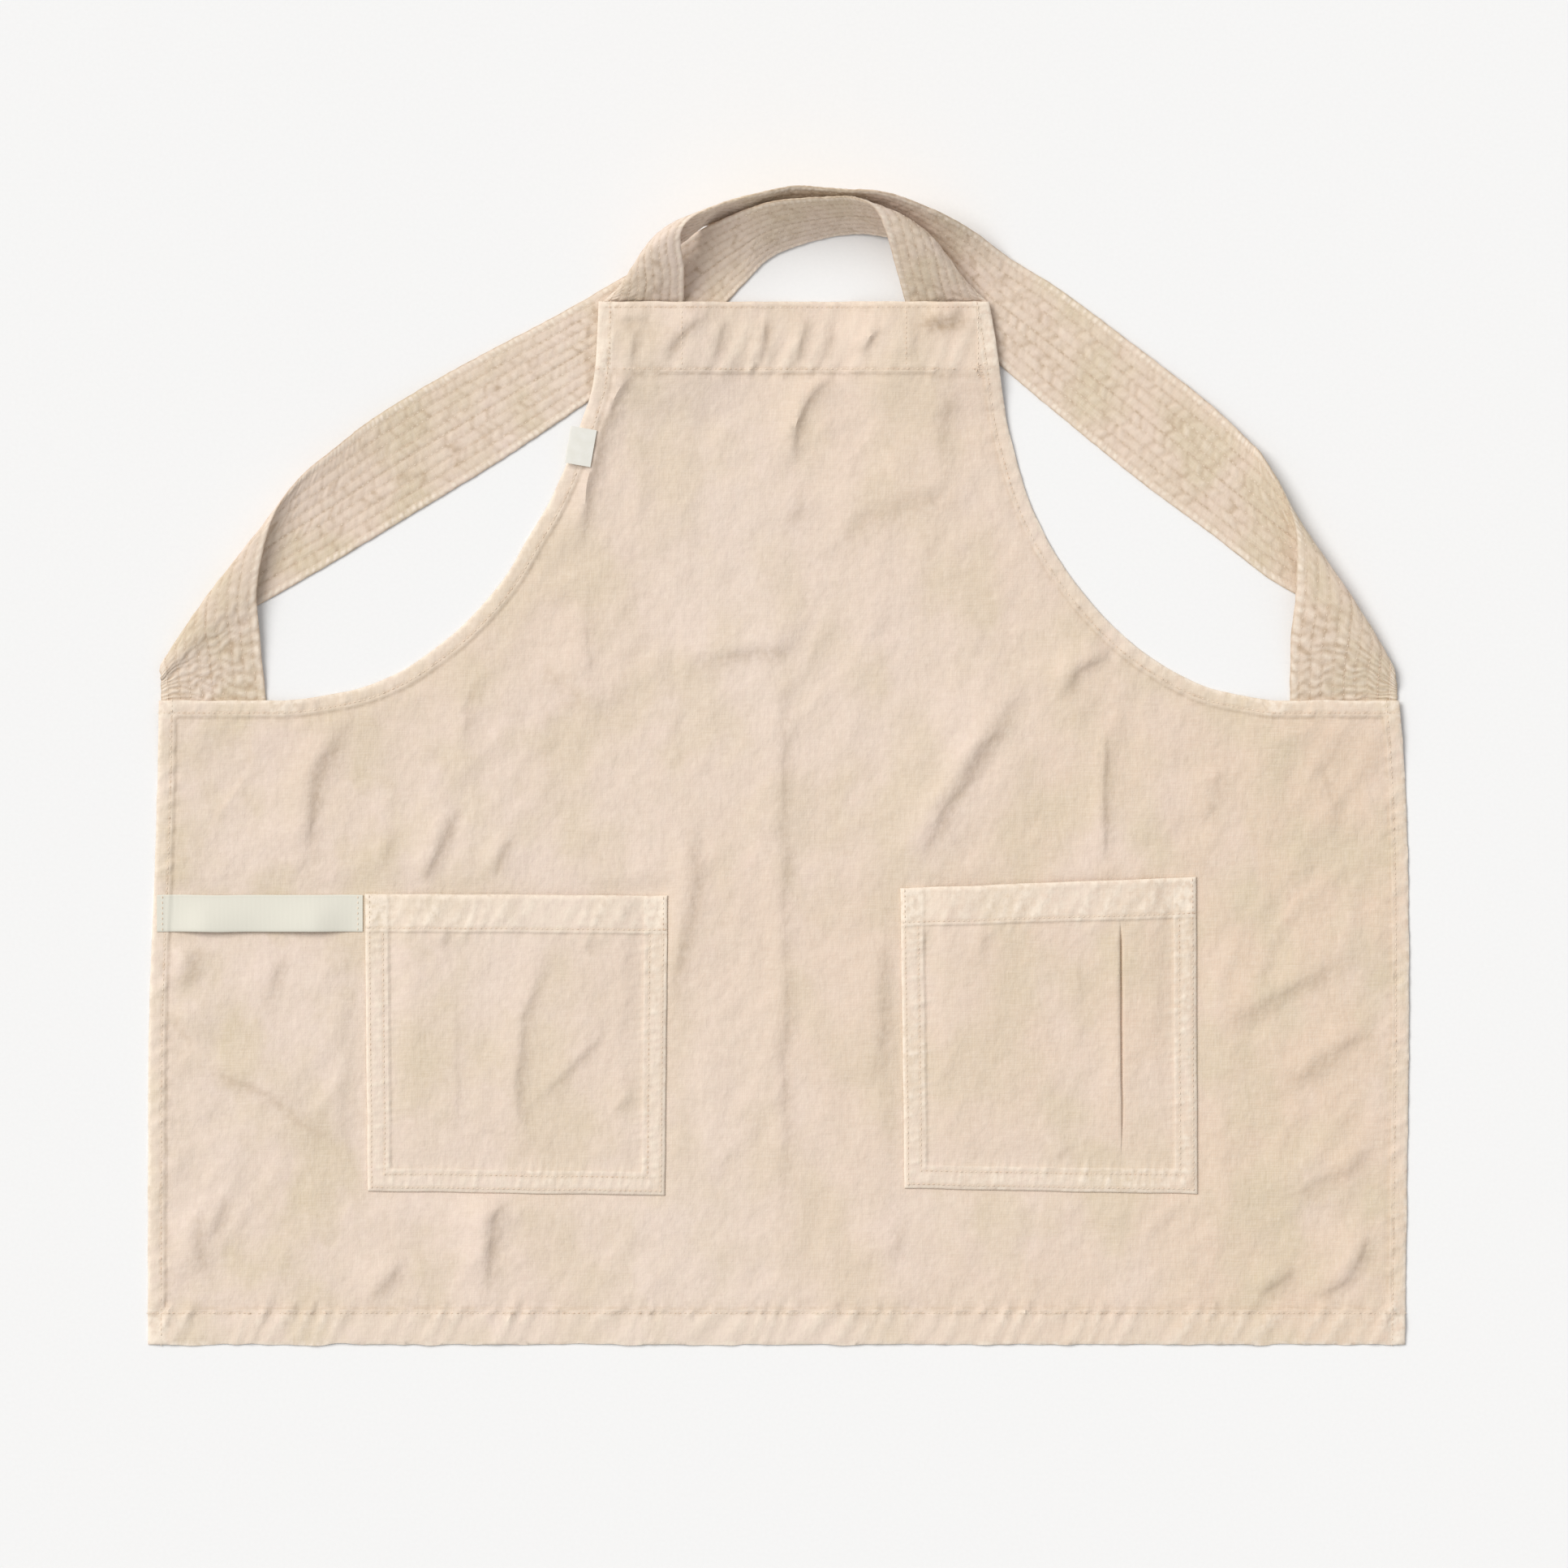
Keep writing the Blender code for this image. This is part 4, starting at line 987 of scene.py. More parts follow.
def tag_material(colours):
    """Woven satin label, blank, with fine ribs and soft blotches."""
    nodes = Nodes("tag_satin", 0.6, 0.08)
    ribs = nodes.waves("Weave", (2.0, 1.0 / (0.5 * MM), 1.0), 0.6, "Y")
    blotch = nodes.noise("Object", (140.0, 140.0, 140.0), 3.0, 0.3, 0.7)
    cloth = nodes.mix(nodes.times(blotch, 0.35), colours.tag, colours.tape_shade)
    return nodes.finish(cloth, nodes.bump(ribs, 0.3, 0.10 * MM))


def thread_material(colours):
    """Cotton sewing thread with its twist."""
    nodes = Nodes("sewing_thread", 0.65, 0.15)
    twist = nodes.waves("Object", (900.0, 700.0, 800.0), 0.0, "DIAGONAL", scale=1.0)
    dye = nodes.noise("Object", (60.0, 60.0, 60.0), 2.0, 0.3, 0.7)
    cloth = nodes.mix(dye, colours.thread, colours.tan_linen)
    return nodes.finish(cloth, nodes.bump(twist, 0.3, 0.08 * MM))


def paper_material(colours):
    """The pale floor: matt paper with a faint grain."""
    nodes = Nodes("pale_paper", 0.95, 0.0)
    grain = nodes.noise("Object", (400.0, 400.0, 400.0), 2.0, 0.3, 0.7)
    shade = tuple(0.985 * part for part in colours.floor)
    return nodes.finish(nodes.mix(grain, colours.floor, shade), nodes.bump(grain, 0.05, 0.05 * MM))


def stitch_shape(sewing):
    """One stitch: a small ball drawn out along the seam, with its ends bent down into the cloth."""
    bpy.ops.object.select_all(action="DESELECT")
    lying = (0.0, math.pi / 2.0, 0.0)
    bpy.ops.mesh.primitive_uv_sphere_add(segments=6, ring_count=5, radius=0.5, rotation=lying)
    made = bpy.context.active_object
    bpy.ops.object.transform_apply(location=False, rotation=True, scale=False)
    bpy.ops.object.mode_set(mode="EDIT")
    bpy.ops.mesh.select_all(action="SELECT")
    bpy.ops.transform.resize(value=(sewing.length, sewing.thread, sewing.thread))
    bpy.ops.mesh.select_all(action="DESELECT")
    bpy.ops.object.mode_set(mode="OBJECT")
    for vertex in made.data.vertices:
        vertex.select = abs(vertex.co.x) > 0.30 * sewing.length
    bpy.ops.object.mode_set(mode="EDIT")
    bpy.ops.transform.translate(value=(0.0, 0.0, -0.55 * sewing.thread))
    bpy.ops.object.mode_set(mode="OBJECT")
    points = np.array([tuple(vertex.co) for vertex in made.data.vertices])
    faces = [tuple(polygon.vertices) for polygon in made.data.polygons]
    bpy.data.objects.remove(made, do_unlink=True)
    return points, faces


def lay_stitches(name, rows, scene):
    """Stitches along rows of (places, upward directions), joined as one piece that goes with its cloth."""
    shape, shape_faces = stitch_shape(scene.apron_sewing)
    points = []
    faces = []
    count = 0
    for places, upward in rows:
        ahead = np.gradient(places, axis=0)
        ahead = ahead / np.linalg.norm(ahead, axis=1, keepdims=True)
        aside = np.cross(upward, ahead)
        laid = places[:, None] + shape[None, :, 0:1] * ahead[:, None]
        laid = laid + shape[None, :, 1:2] * aside[:, None] + shape[None, :, 2:3] * upward[:, None]
        points.append(laid.reshape(-1, 3))
        for _ in range(len(places)):
            faces += [tuple(index + count for index in face) for face in shape_faces]
            count += len(shape)
    made = mesh_object(name, np.vstack(points), faces, scene_thread(scene))
    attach(made, "root")
    return made


def standing(line, height):
    """A row of stitches at places of the plan and their heights, with its upward directions."""
    return np.column_stack((line, height)), np.tile(UPWARD, (len(line), 1))


def body_seam(line, scene):
    """A row of stitches along a line of the plan, on the body's upper side."""
    flat = even(line, scene.apron_sewing.pitch)
    return standing(flat, body_upper(flat, scene.apron_cloth) + THREAD_PROUD * scene.apron_sewing.thread)


def zigzag(middle, length, width, turns):
    """A bar tack's line: close zigzag across its length."""
    share = np.linspace(-0.5, 0.5, turns)
    x = middle[0] + width * 0.5 * (-1.0) ** np.arange(turns)
    return np.column_stack((x, middle[1] + length * share))


def make_body(scene):
    """The linen body with its hems, folds, seams and the bar tack under a strap's end."""
    plan, faces, outline = body_plan()
    under, thick, worn, deep = body_relief(plan, scene.apron_cloth)
    low = np.column_stack((plan, under))
    high = np.column_stack((plan, under + thick))
    finish = linen_material("washed_linen", scene, crumple=0.50, tan_side=0.60, sand_share=0.42)
    made = sheet_object("linen_body", low, high, faces, finish, plan, {"worn": worn, "deep": deep})
    dress(made, "apron_body")
    lines = [inset_line(even(edge["line"], CELL), edge["hem"] - STITCH_INSET) for edge in body_edges()]
    corner = 8.0 * MM
    top = BODY_HIGH.y - TOP_SEAM
    lines.append(((plan_x(1.0) - corner, top), (plan_x(-1.0) + corner, top)))
    for side in (-1.0, 1.0):
        for inset in (STRAP_BIB_WIDTH, corner):
            x = plan_x(side) - side * inset
            lines.append(((x, top), (x, top - SEWN_AT_BIB)))
    tack_middle = (plan_x(1.0) - 6.0 * MM, BODY_HIGH.y - SEWN_AT_BIB - 9.0 * MM)
    lines.append(zigzag(tack_middle, length=10.0 * MM, width=5.5 * MM, turns=7))
    rows = [body_seam(line, scene) for line in lines]
    stitches = lay_stitches("body_stitching", rows, scene)
    x, y = outline.T


def scene_thread(scene):
    """The sewing thread's material, made once."""
    found = bpy.data.materials.get("sewing_thread")
    return found or thread_material(scene.apron_colours)


def strap_lines(table):
    """Each row of a strap's table in metres: low edge, high edge, and the bow between them."""
    rows = rows_of(STRAP_COLUMNS, table)
    lines = []
    for i, row in enumerate(rows):
        width = STRAP_WIDTH + (STRAP_BIB_WIDTH - STRAP_WIDTH) * i / (len(rows) - 1)
        aim = math.radians(row["aim"])
        reach = row["reach"] * width
        x = plan_x(row["s"])
        y = plan_y(row["t"])
        low = STRAP_CLOTH / 2.0 + row["low"] * STRAP_RISE
        high = STRAP_CLOTH / 2.0 + row["high"] * STRAP_RISE
        bow = (-math.sin(aim) * row["out"] * width, math.cos(aim) * row["out"] * width, row["up"] * width)
        lines.append((x, y, low, x + reach * math.cos(aim), y + reach * math.sin(aim), high, *bow))
    return lines


def strap_rows(table):
    """The strap's cross lines, close together and evenly spaced, with its sewn ends."""
    lines = eased(strap_lines(table), 12)
    first = lines[0].copy()
    last = lines[-1].copy()
    first[[1, 4]] -= SEWN_AT_SIDE
    last[[1, 4]] -= SEWN_AT_BIB
    lines = np.vstack((first, lines, last))
    middle = 0.5 * (lines[:, 0:3] + lines[:, 3:6]) + lines[:, 6:9]
    spaced = even(np.column_stack((middle, lines)), STRAP_CELL)
    return spaced[:, 3:]


def strap_surface(lines, across):
    """Points of the strap's middle surface, one row for each cross line."""
    share = across[None, :, None]
    low = lines[:, None, 0:3]
    high = lines[:, None, 3:6]
    grid = low + (high - low) * share + lines[:, None, 6:9] * 4.0 * share * (1.0 - share)
    grid[:, :, 2] = np.maximum(grid[:, :, 2], STRAP_CLOTH / 2.0)
    return grid


def grid_normals(grid):
    """The upward direction at each point of a grid."""
    along = np.gradient(grid, axis=0)
    across = np.gradient(grid, axis=1)
    normal = np.cross(across, along)
    return normal / np.linalg.norm(normal, axis=2, keepdims=True)


def quilting(along, across, seed, puff):
    """The quilted strap's swelling between its stitch rows, pinched across, its pale wear with painted
    highlight, and its painted shade.
    """
    channel = (across - STRAP_SEAM) / (1.0 - 2.0 * STRAP_SEAM) * STRAP_CHANNELS
    seam = np.minimum(across, 1.0 - across) / STRAP_SEAM
    in_seam = (channel < 0.0) | (channel > STRAP_CHANNELS)
    swell = np.where(in_seam, np.abs(np.sin(math.pi * seam)), np.abs(np.sin(math.pi * channel))) ** 0.45
    lane = np.where(in_seam, np.where(across < 0.5, -1.0, STRAP_CHANNELS), np.floor(channel))
    flat_along = along.ravel()
    flat_lane = lane.ravel()
    skew = 0.9 * (channel - lane).ravel() * np.where(flat_lane % 2.0 < 1.0, 1.0, -1.0)
    pinch = rough(flat_along / 0.0043 + skew, flat_lane * 7.3, seed)
    drag = rough(flat_along / 0.0120 + 0.5 * channel.ravel(), channel.ravel() / 1.4, seed + 5.0)
    pinch = pinch.reshape(along.shape)
    drag = drag.reshape(along.shape)
    groove = 1.0 - swell
    pits = ripple(2.0 * math.pi * along / QUILT_PIT + 2.1 * lane + 2.4 * drag)
    ladder = ripple(2.0 * math.pi * along / EDGE_STITCH + 1.5 * drag) * in_seam
    root = 1.0 - smooth(between(along, 0.040, 0.085))
    gather = ripple(2.0 * math.pi * (along / ROOT_GATHER + 0.9 * drag + 0.16 * channel))
    relief = swell * (0.62 + 0.85 * pinch) + 0.45 * drag - 0.35 * groove * pits + 0.25 * ladder
    relief = relief * (1.0 - 0.4 * root) + 0.95 * root * gather
    # Pale: painted highlight on the pinched puffs and on the crests of the root's gathers, and pale stitches
    # along the oversewn edges.
    worn = 0.40 * np.clip(pinch * swell, 0.0, 1.0) + 0.85 * ladder * swell + 0.35 * root * gather**2
    # Painted shade in the grooves between the channels and at their pits, in the pinched hollows and between
    # the root's gathers.
    deep = groove**1.4 * (0.55 + 0.75 * pits) + 0.95 * np.clip(-pinch, 0.0, 1.0) * (1.0 - in_seam)
    deep = deep + 0.60 * root * (1.0 - gather) ** 2
    return puff * relief, np.clip(worn, 0.0, 1.0), np.clip(deep, 0.0, 1.0)


def make_strap(scene, node, table, seed):
    """A quilted strap through its cross lines, with stitches on both sides."""
    quilt = scene.apron_quilt
    lines = strap_rows(table)
    across = np.linspace(0.0, 1.0, STRAP_ACROSS + 1)
    along = np.repeat((np.arange(len(lines)) * STRAP_CELL)[:, None], len(across), axis=1)
    share = np.repeat(across[None, :], len(lines), axis=0)
    grid = strap_surface(lines, across)
    normal = grid_normals(grid)
    aside = lines[:, 3:6] - lines[:, 0:3]
    aside = aside / np.linalg.norm(aside, axis=1)[:, None]
    run = along[:, 0]
    ragged = rough(run / 0.011, run * 0.0, seed + 8.0) + 0.8 * rough(run / 0.0052, run * 0.0, seed + 9.0)
    grid = grid + aside[:, None] * (0.35 * MM * ragged[:, None] * (2.0 * share - 1.0))[:, :, None]
    upper, worn, deep = quilting(along, share, seed, quilt.puff)
    lower = quilting(along, share, seed + 31.0, quilt.puff)[0]
    rounding = rounded(np.minimum(share, 1.0 - share) * STRAP_WIDTH, 1.2 * MM, 0.45)
    upper = (quilt.flat + upper) * rounding
    lower = (quilt.flat + lower) * rounding
    high = (grid + normal * upper[:, :, None]).reshape(-1, 3)
    low = (grid - normal * lower[:, :, None]).reshape(-1, 3)
    for layer in (low, high):
        layer[:, 2] = np.maximum(layer[:, 2], 0.0)
    weave = np.column_stack((along.ravel(), (share * STRAP_WIDTH).ravel()))
    marks = {"worn": worn.ravel(), "deep": deep.ravel()}
    finish = bpy.data.materials.get("strap_linen")
    if finish is None:
        finish = linen_material("strap_linen", scene, crumple=0.45, tan_side=0.30, sand_share=0.85)
    name = "quilted_" + node
    made = sheet_object(name, low, high, grid_faces(*share.shape), finish, weave, marks)
    face_out(made)
    dress(made, node)
    rows = []
    sewing = scene.apron_sewing
    lanes = STRAP_SEAM + (1.0 - 2.0 * STRAP_SEAM) * np.arange(STRAP_CHANNELS + 1) / STRAP_CHANNELS
    step = max(1, round(sewing.pitch * 1.3 / STRAP_CELL))
    for lane in lanes:
        column = round(lane * STRAP_ACROSS)
        for side, half in ((1.0, upper), (-1.0, lower)):
            up = side * normal[::step, column]
            places = grid[::step, column] + up * (half[::step, column, None] - 0.1 * sewing.thread)
            clear = places[:, 2] > sewing.thread
            rows.append((places[clear], up[clear]))
    stitches = lay_stitches(name + "_stitching", rows, scene)


def pocket_places(row, u, v):
    """Places of the plan at shares across and up a pocket, with edges that wave a little."""
    bend_x = 0.5 * MM * rough(v * 6.0, u * 0.8, 40.0 + row["side"])
    bend_y = 0.5 * MM * rough(u * 6.0, v * 0.8, 44.0 + row["side"])
    lower_left, lower_right, upper_left, upper_right = np.array(row["corners"]) * CM
    lower = lower_left + (lower_right - lower_left) * u[:, None]
    upper = upper_left + (upper_right - upper_left) * u[:, None]
    return lower + (upper - lower) * v[:, None] + np.column_stack((bend_x, bend_y))


def pocket_relief(row, u, v, cloth):
    """At shares across and up a pocket: places, under height, thickness, pale wear with painted highlight,
    and painted shade.
    """
    places = pocket_places(row, u, v)
    aside = np.minimum(u, 1.0 - u) * POCKET_WIDTH
    above = v * POCKET_HEIGHT
    below = (1.0 - v) * POCKET_HEIGHT
    edge = np.minimum(np.minimum(aside, above), below)
    seam_away = np.minimum(aside, above)
    seam = 1.0 - between(seam_away, POCKET_SEAM, POCKET_SEAM + HEM_STEP)
    band = 1.0 - between(below, POCKET_BAND, POCKET_BAND + HEM_STEP)
    corner = band * (1.0 - between(aside, POCKET_SEAM, POCKET_SEAM + HEM_STEP))
    grooves = [hump(seam_away - inset, POCKET_ROW_WIDTH) for inset in POCKET_ROWS]
    groove = np.maximum(*grooves) * (1.0 - band)
    groove = np.maximum(groove, hump(below - POCKET_BAND + STITCH_INSET, POCKET_ROW_WIDTH))
    run = np.where(aside < above, v * POCKET_HEIGHT, u * POCKET_WIDTH)
    lean = np.where(aside < above, np.where(u < 0.5, -0.55, 0.55), -0.55)
    gathers = hem_pucker(seam_away, run, POCKET_SEAM, 0.0062, 0.4 * lean, 50.0 + row["side"])
    gathers = 0.8 * gathers + 0.7 * rough(run / 0.0058, seam_away / 0.006, 58.0) * (seam_away < POCKET_SEAM)
    band_gathers = hem_pucker(below, u * POCKET_WIDTH, POCKET_BAND, 0.0130, 0.55, 54.0 + row["side"])
    pucker = np.maximum(0.42 * gathers, 0.32 * band_gathers) * cloth.pucker
    free = smooth(between(seam_away, POCKET_SEAM, POCKET_SEAM + 0.018))
    belly = POCKET_BELLY * free * smooth(between(above, 0.0, POCKET_HEIGHT))
    soft = wrinkles(places + (3.0, 1.0)) * cloth.wrinkle * (0.25 + 0.75 * free)
    folds, flank = fold_relief(places, row["folds"])
    folds = 0.7 * cloth.fold * folds
    seat = body_upper(places, cloth) + SEAT
    under = seat + np.maximum(pucker + soft * 0.6 + folds, 0.0) * between(edge, 0.0, 2.5 * MM) + belly
    double = np.maximum(seam, band)
    thick = cloth.single + (cloth.hem - cloth.single) * double + 0.35 * MM * corner
    thick = thick * rounded(edge, EDGE_ROUND, 0.30) - GROOVE_DEPTH * cloth.hem * groove
    if row["pen_fold"]:
        away = (u - PEN_FOLD_ACROSS) * POCKET_WIDTH
        length = smooth(between(v, PEN_FOLD_SPAN[0] - 0.06, PEN_FOLD_SPAN[0] + 0.12))
        length = length * smooth(between(PEN_FOLD_SPAN[1] + 0.02 - v, 0.0, 0.10))
        rise = np.where(away < 0.0, hump(away, 13.0 * MM), 0.0)
        slot = hump(away - 0.7 * MM, 0.75 * MM)
        under = under + length * 1.7 * MM * rise - length * slot * np.minimum(belly + 0.6 * MM, 2.0 * MM)
        under = np.maximum(under, seat)
    # Pale wear on the double seams, the edges and the corners, and painted highlight on the crests of the
    # gathers.
    worn = 0.30 * double + 0.60 * hump(edge, 1.8 * MM) + 0.35 * corner + 0.62 * pucker / MM
    # Painted shade down the folds' steep sides, in the stitch grooves, and at the step down from the seams
    # and the band.
    step_away = np.abs(seam_away - POCKET_SEAM - HEM_STEP)
    step_away = np.minimum(step_away, np.abs(below - POCKET_BAND - HEM_STEP))
    deep = 0.6 * FOLD_SHADE * flank + 0.35 * groove + 0.16 * hump(step_away, POCKET_ROW_WIDTH)
    return places, under, thick, np.clip(worn, 0.0, 1.0), np.clip(deep, 0.0, 1.0)


def pocket_shares(size, lines):
    """Shares across a pocket's side where its mesh has lines: even cells, and closer ones at its seams."""
    cells = np.linspace(0.0, 1.0, round(size / POCKET_CELL) + 1)
    close = np.array([line / size for line in lines])
    apart = np.min(np.abs(cells[:, None] - close[None, :]), axis=1) * size
    return np.unique(np.round(np.concatenate((cells[apart > 0.5 * MM], close, (0.0, 1.0))), 6))


def make_pocket(scene, row):
    """A patch pocket on the body, with its double seam and its band."""
    seams = (0.5 * MM, 1.3 * MM, *POCKET_ROWS, POCKET_SEAM, POCKET_SEAM + HEM_STEP)
    u_lines = [*seams, *(POCKET_WIDTH - line for line in seams)]
    if row["pen_fold"]:
        middle = PEN_FOLD_ACROSS * POCKET_WIDTH
        u_lines += [middle + step * MM for step in (-0.7, -0.01, 0.35, 0.7, 1.05, 1.5)]
    band = POCKET_HEIGHT - POCKET_BAND
    v_lines = [*seams, POCKET_HEIGHT - 0.5 * MM, band + STITCH_INSET, band, band - HEM_STEP]
    u = pocket_shares(POCKET_WIDTH, u_lines)
    v = pocket_shares(POCKET_HEIGHT, v_lines)
    u_all = np.tile(u, len(v))
    v_all = np.repeat(v, len(u))
    places, under, thick, worn, deep = pocket_relief(row, u_all, v_all, scene.apron_cloth)
    low = np.column_stack((places, under))
    high = np.column_stack((places, under + thick))
    name = "linen_" + row["name"]
    marks = {"worn": worn, "deep": deep}
    finish = bpy.data.materials["washed_linen"]
    made = sheet_object(name, low, high, grid_faces(len(v), len(u)), finish, places, marks)
    dress(made, row["name"])
    rows = []
    for inset in POCKET_ROWS:
        side = inset / POCKET_WIDTH
        foot = inset / POCKET_HEIGHT
        top = 1.0 - (POCKET_BAND if inset > POCKET_SEAM / 2.0 else 0.0) / POCKET_HEIGHT - 0.01
        path = ((side, top), (side, foot), (1.0 - side, foot), (1.0 - side, top))
        rows += [pocket_seam(row, corners, scene) for corners in zip(path[:-1], path[1:])]
    level = 1.0 - (POCKET_BAND - STITCH_INSET) / POCKET_HEIGHT
    rows.append(pocket_seam(row, ((0.01, level), (0.99, level)), scene))
    stitches = lay_stitches(name + "_stitching", rows, scene)


def pocket_seam(row, corners, scene):
    """A row of stitches between two places of a pocket, given as shares."""
    size = np.array((POCKET_WIDTH, POCKET_HEIGHT))
    shares = even(np.array(corners) * size, scene.apron_sewing.pitch) / size
    places, under, thick, _, _ = pocket_relief(row, shares[:, 0], shares[:, 1], scene.apron_cloth)
    return standing(places, under + thick + THREAD_PROUD * scene.apron_sewing.thread)


def make_towel_loop(scene):
    """The tape lies from the side hem to the pocket and bows up off the cloth, most at its lower edge."""
    cloth = scene.apron_cloth
    width = LOOP_HIGH.y - LOOP_LOW.y
    pocket_edge = POCKETS[0][POCKET_COLUMNS.index("corners")][2][0] * CM
    length = pocket_edge - 1.5 * MM - LOOP_LOW.x
    across = np.array((0.0, 0.02, 0.05, *np.linspace(0.1, 0.9, 13), 0.95, 0.98, 1.0))
    along = np.linspace(0.0, 1.0, 110)
    u = np.tile(along, len(across))
    v = np.repeat(across, len(along))
    wave = 0.35 * MM * rough(u * 5.0, v * 0.0, 60.0)
    x = LOOP_LOW.x + u * length
    y = LOOP_LOW.y + 0.4 * MM + v * (width - 0.8 * MM) + wave
    held = smooth(between(np.minimum(u, 1.0 - u), 0.03, 0.25))
    swing = 0.5 + 0.5 * np.cos(2.0 * math.pi * (u - 0.22) / 0.56)
    low_side = smooth(1.0 - v)
    bow = held * (0.8 * MM + 4.0 * MM * low_side * (0.35 + 0.65 * swing) + 0.5 * MM * np.sin(v * math.pi))
    seat = body_upper(np.column_stack((x, y)), cloth) + SEAT
    edge = np.minimum(v, 1.0 - v) * width
    thick = TAPE_THICKNESS * rounded(edge, 0.7 * MM, 0.5)
    low = np.column_stack((x, y, seat + bow))
    high = np.column_stack((x, y, seat + bow + thick))
    marks = {"deep": 0.5 * hump(edge - 1.5 * MM, 0.5 * MM), "worn": v * 0.0}
    weave = np.column_stack((u * length, v * width))
    faces = grid_faces(len(across), len(along))
    finish = tape_material(scene.apron_colours)
    made = sheet_object("tape_loop", low, high, faces, finish, weave, marks)
    dress(made, "towel_loop")
    rows = []
    middle = (LOOP_LOW.y + LOOP_HIGH.y) / 2.0
    for x_place in (LOOP_LOW.x + TAPE_ROWS[0], LOOP_LOW.x + length - TAPE_ROWS[1]):
        ends = ((x_place, middle - 0.42 * width), (x_place, middle + 0.42 * width))
        line = even(ends, scene.apron_sewing.pitch)
        rows.append(standing(line, body_upper(line, cloth) + SEAT + 1.0 * MM))
    stitches = lay_stitches("tape_loop_stitching", rows, scene)


def make_tag(scene):
    """A blank folded tag on the armhole's band: two layers with a soft fold at the free end."""
    middle = np.array(((TAG_LOW.x + TAG_HIGH.x) / 2.0, (TAG_LOW.y + TAG_HIGH.y) / 2.0))
    across, upward = turned(TAG_TURN)
    turn = np.linspace(-90.0, -270.0, 7) * math.pi / 180.0
    fold_x = -0.5 * TAG_WIDTH + TAG_GAP + TAG_GAP * np.cos(turn)
    straight = np.linspace(-0.5 * TAG_WIDTH + 1.5 * MM, 0.5 * TAG_WIDTH, 14)
    arch = 0.25 * MM * np.sin((straight / TAG_WIDTH + 0.5) * math.pi)
    path = np.vstack((
        np.column_stack((straight[::-1], straight * 0.0 - TAG_GAP)),
        np.column_stack((fold_x, TAG_GAP * np.sin(turn))),
        np.column_stack((straight, TAG_GAP + arch)),
    ))
    v = np.linspace(-0.5, 0.5, 21)
    outward = np.gradient(path, axis=0)
    outward = np.column_stack((-outward[:, 1], outward[:, 0]))
    outward = outward / np.linalg.norm(outward, axis=1, keepdims=True)
    cells = np.linspace(-0.5, 0.5, 25)
    seat = middle + across * (cells * TAG_WIDTH)[:, None, None]
    seat = seat + upward * (cells * TAG_HEIGHT)[None, :, None]
    base = float(np.max(body_upper(seat.reshape(-1, 2), scene.apron_cloth))) + SEAT + TAG_GAP + TAG_HALF
    layers = []
    for side in (1.0, -1.0):
        line = path + side * TAG_HALF * outward
        curl = 0.35 * MM * (2.0 * v[:, None]) ** 2 * between(line[None, :, 0], 0.0, -0.5 * TAG_WIDTH)
        flat = middle + across * line[None, :, 0:1] + upward * (v[:, None, None] * TAG_HEIGHT)
        layers.append(np.dstack((flat, base + line[None, :, 1] + curl)).reshape(-1, 3))
    along = np.concatenate(([0.0], np.cumsum(np.linalg.norm(np.diff(path, axis=0), axis=1))))
    weave = np.column_stack((np.tile(along, len(v)), np.repeat(v * TAG_HEIGHT, len(path))))
    faces = grid_faces(len(v), len(path))
    marks = {"worn": np.zeros(len(weave)), "deep": np.zeros(len(weave))}
    finish = tag_material(scene.apron_colours)
    made = sheet_object("blank_tag", *layers, faces, finish, weave, marks)
    face_out(made)
    dress(made, "label_tag")


def make_floor(scene):
    """A wide, flat and pale floor."""
    bpy.ops.object.select_all(action="DESELECT")
    bpy.ops.mesh.primitive_grid_add(x_subdivisions=12, y_subdivisions=12, size=FLOOR_SIDE)
    floor = bpy.context.active_object
    floor.name = "pale_floor"
    floor.data.materials.append(paper_material(scene.apron_colours))


def add_sun(name, strength, angle, elevation, azimuth, colour):
    """A wide soft light from a direction: elevation above the floor, azimuth from +X towards +Y."""
    light = bpy.data.lights.new(name, "SUN")
    light.energy = strength
    light.angle = math.radians(angle)
    light.color = colour
    made = bpy.data.objects.new(name, light)
    bpy.context.scene.collection.objects.link(made)
    up = math.radians(elevation)
    about = math.radians(azimuth)
    toward = Vector((math.cos(up) * math.cos(about), math.cos(up) * math.sin(about), math.sin(up)))
    made.rotation_mode = "QUATERNION"
    made.rotation_quaternion = toward.to_track_quat("Z", "Y")


def make_studio(scene):
    """The floor, one soft light from the upper left, light from all round, and a camera straight above."""
    studio = scene.apron_studio
    make_floor(scene)
    warm = (1.0, 0.985, 0.96)
    add_sun("key_light", studio.key, angle=40.0, elevation=50.0, azimuth=145.0, colour=warm)
    world = bpy.data.worlds.new("studio_air")
    world.use_nodes = True
    air = world.node_tree.nodes["Background"]
    air.inputs["Color"].default_value = (0.985, 0.99, 1.0, 1.0)
    air.inputs["Strength"].default_value = studio.fill
    scene.world = world
    scene.view_settings.view_transform = "Standard"
    scene.view_settings.look = "None"
    camera = bpy.data.cameras.new("camera")
    camera.lens = studio.lens
    camera.clip_end = SIGHT
    made = bpy.data.objects.new("camera", camera)
    scene.collection.objects.link(made)
    height = studio.view_width * studio.lens / camera.sensor_width
    made.location = (studio.view_x, studio.view_y, height)
    made.rotation_euler = (0.0, 0.0, math.radians(studio.roll))
    scene.camera = made


def length_property(name, description, default):
    """A length that the user may change."""
    return FloatProperty(name=name, description=description, default=default, unit="LENGTH")


def strength_property(name, description, default):
    """A strength or another plain number that the user may change."""
    return FloatProperty(name=name, description=description, default=default, min=0.0)


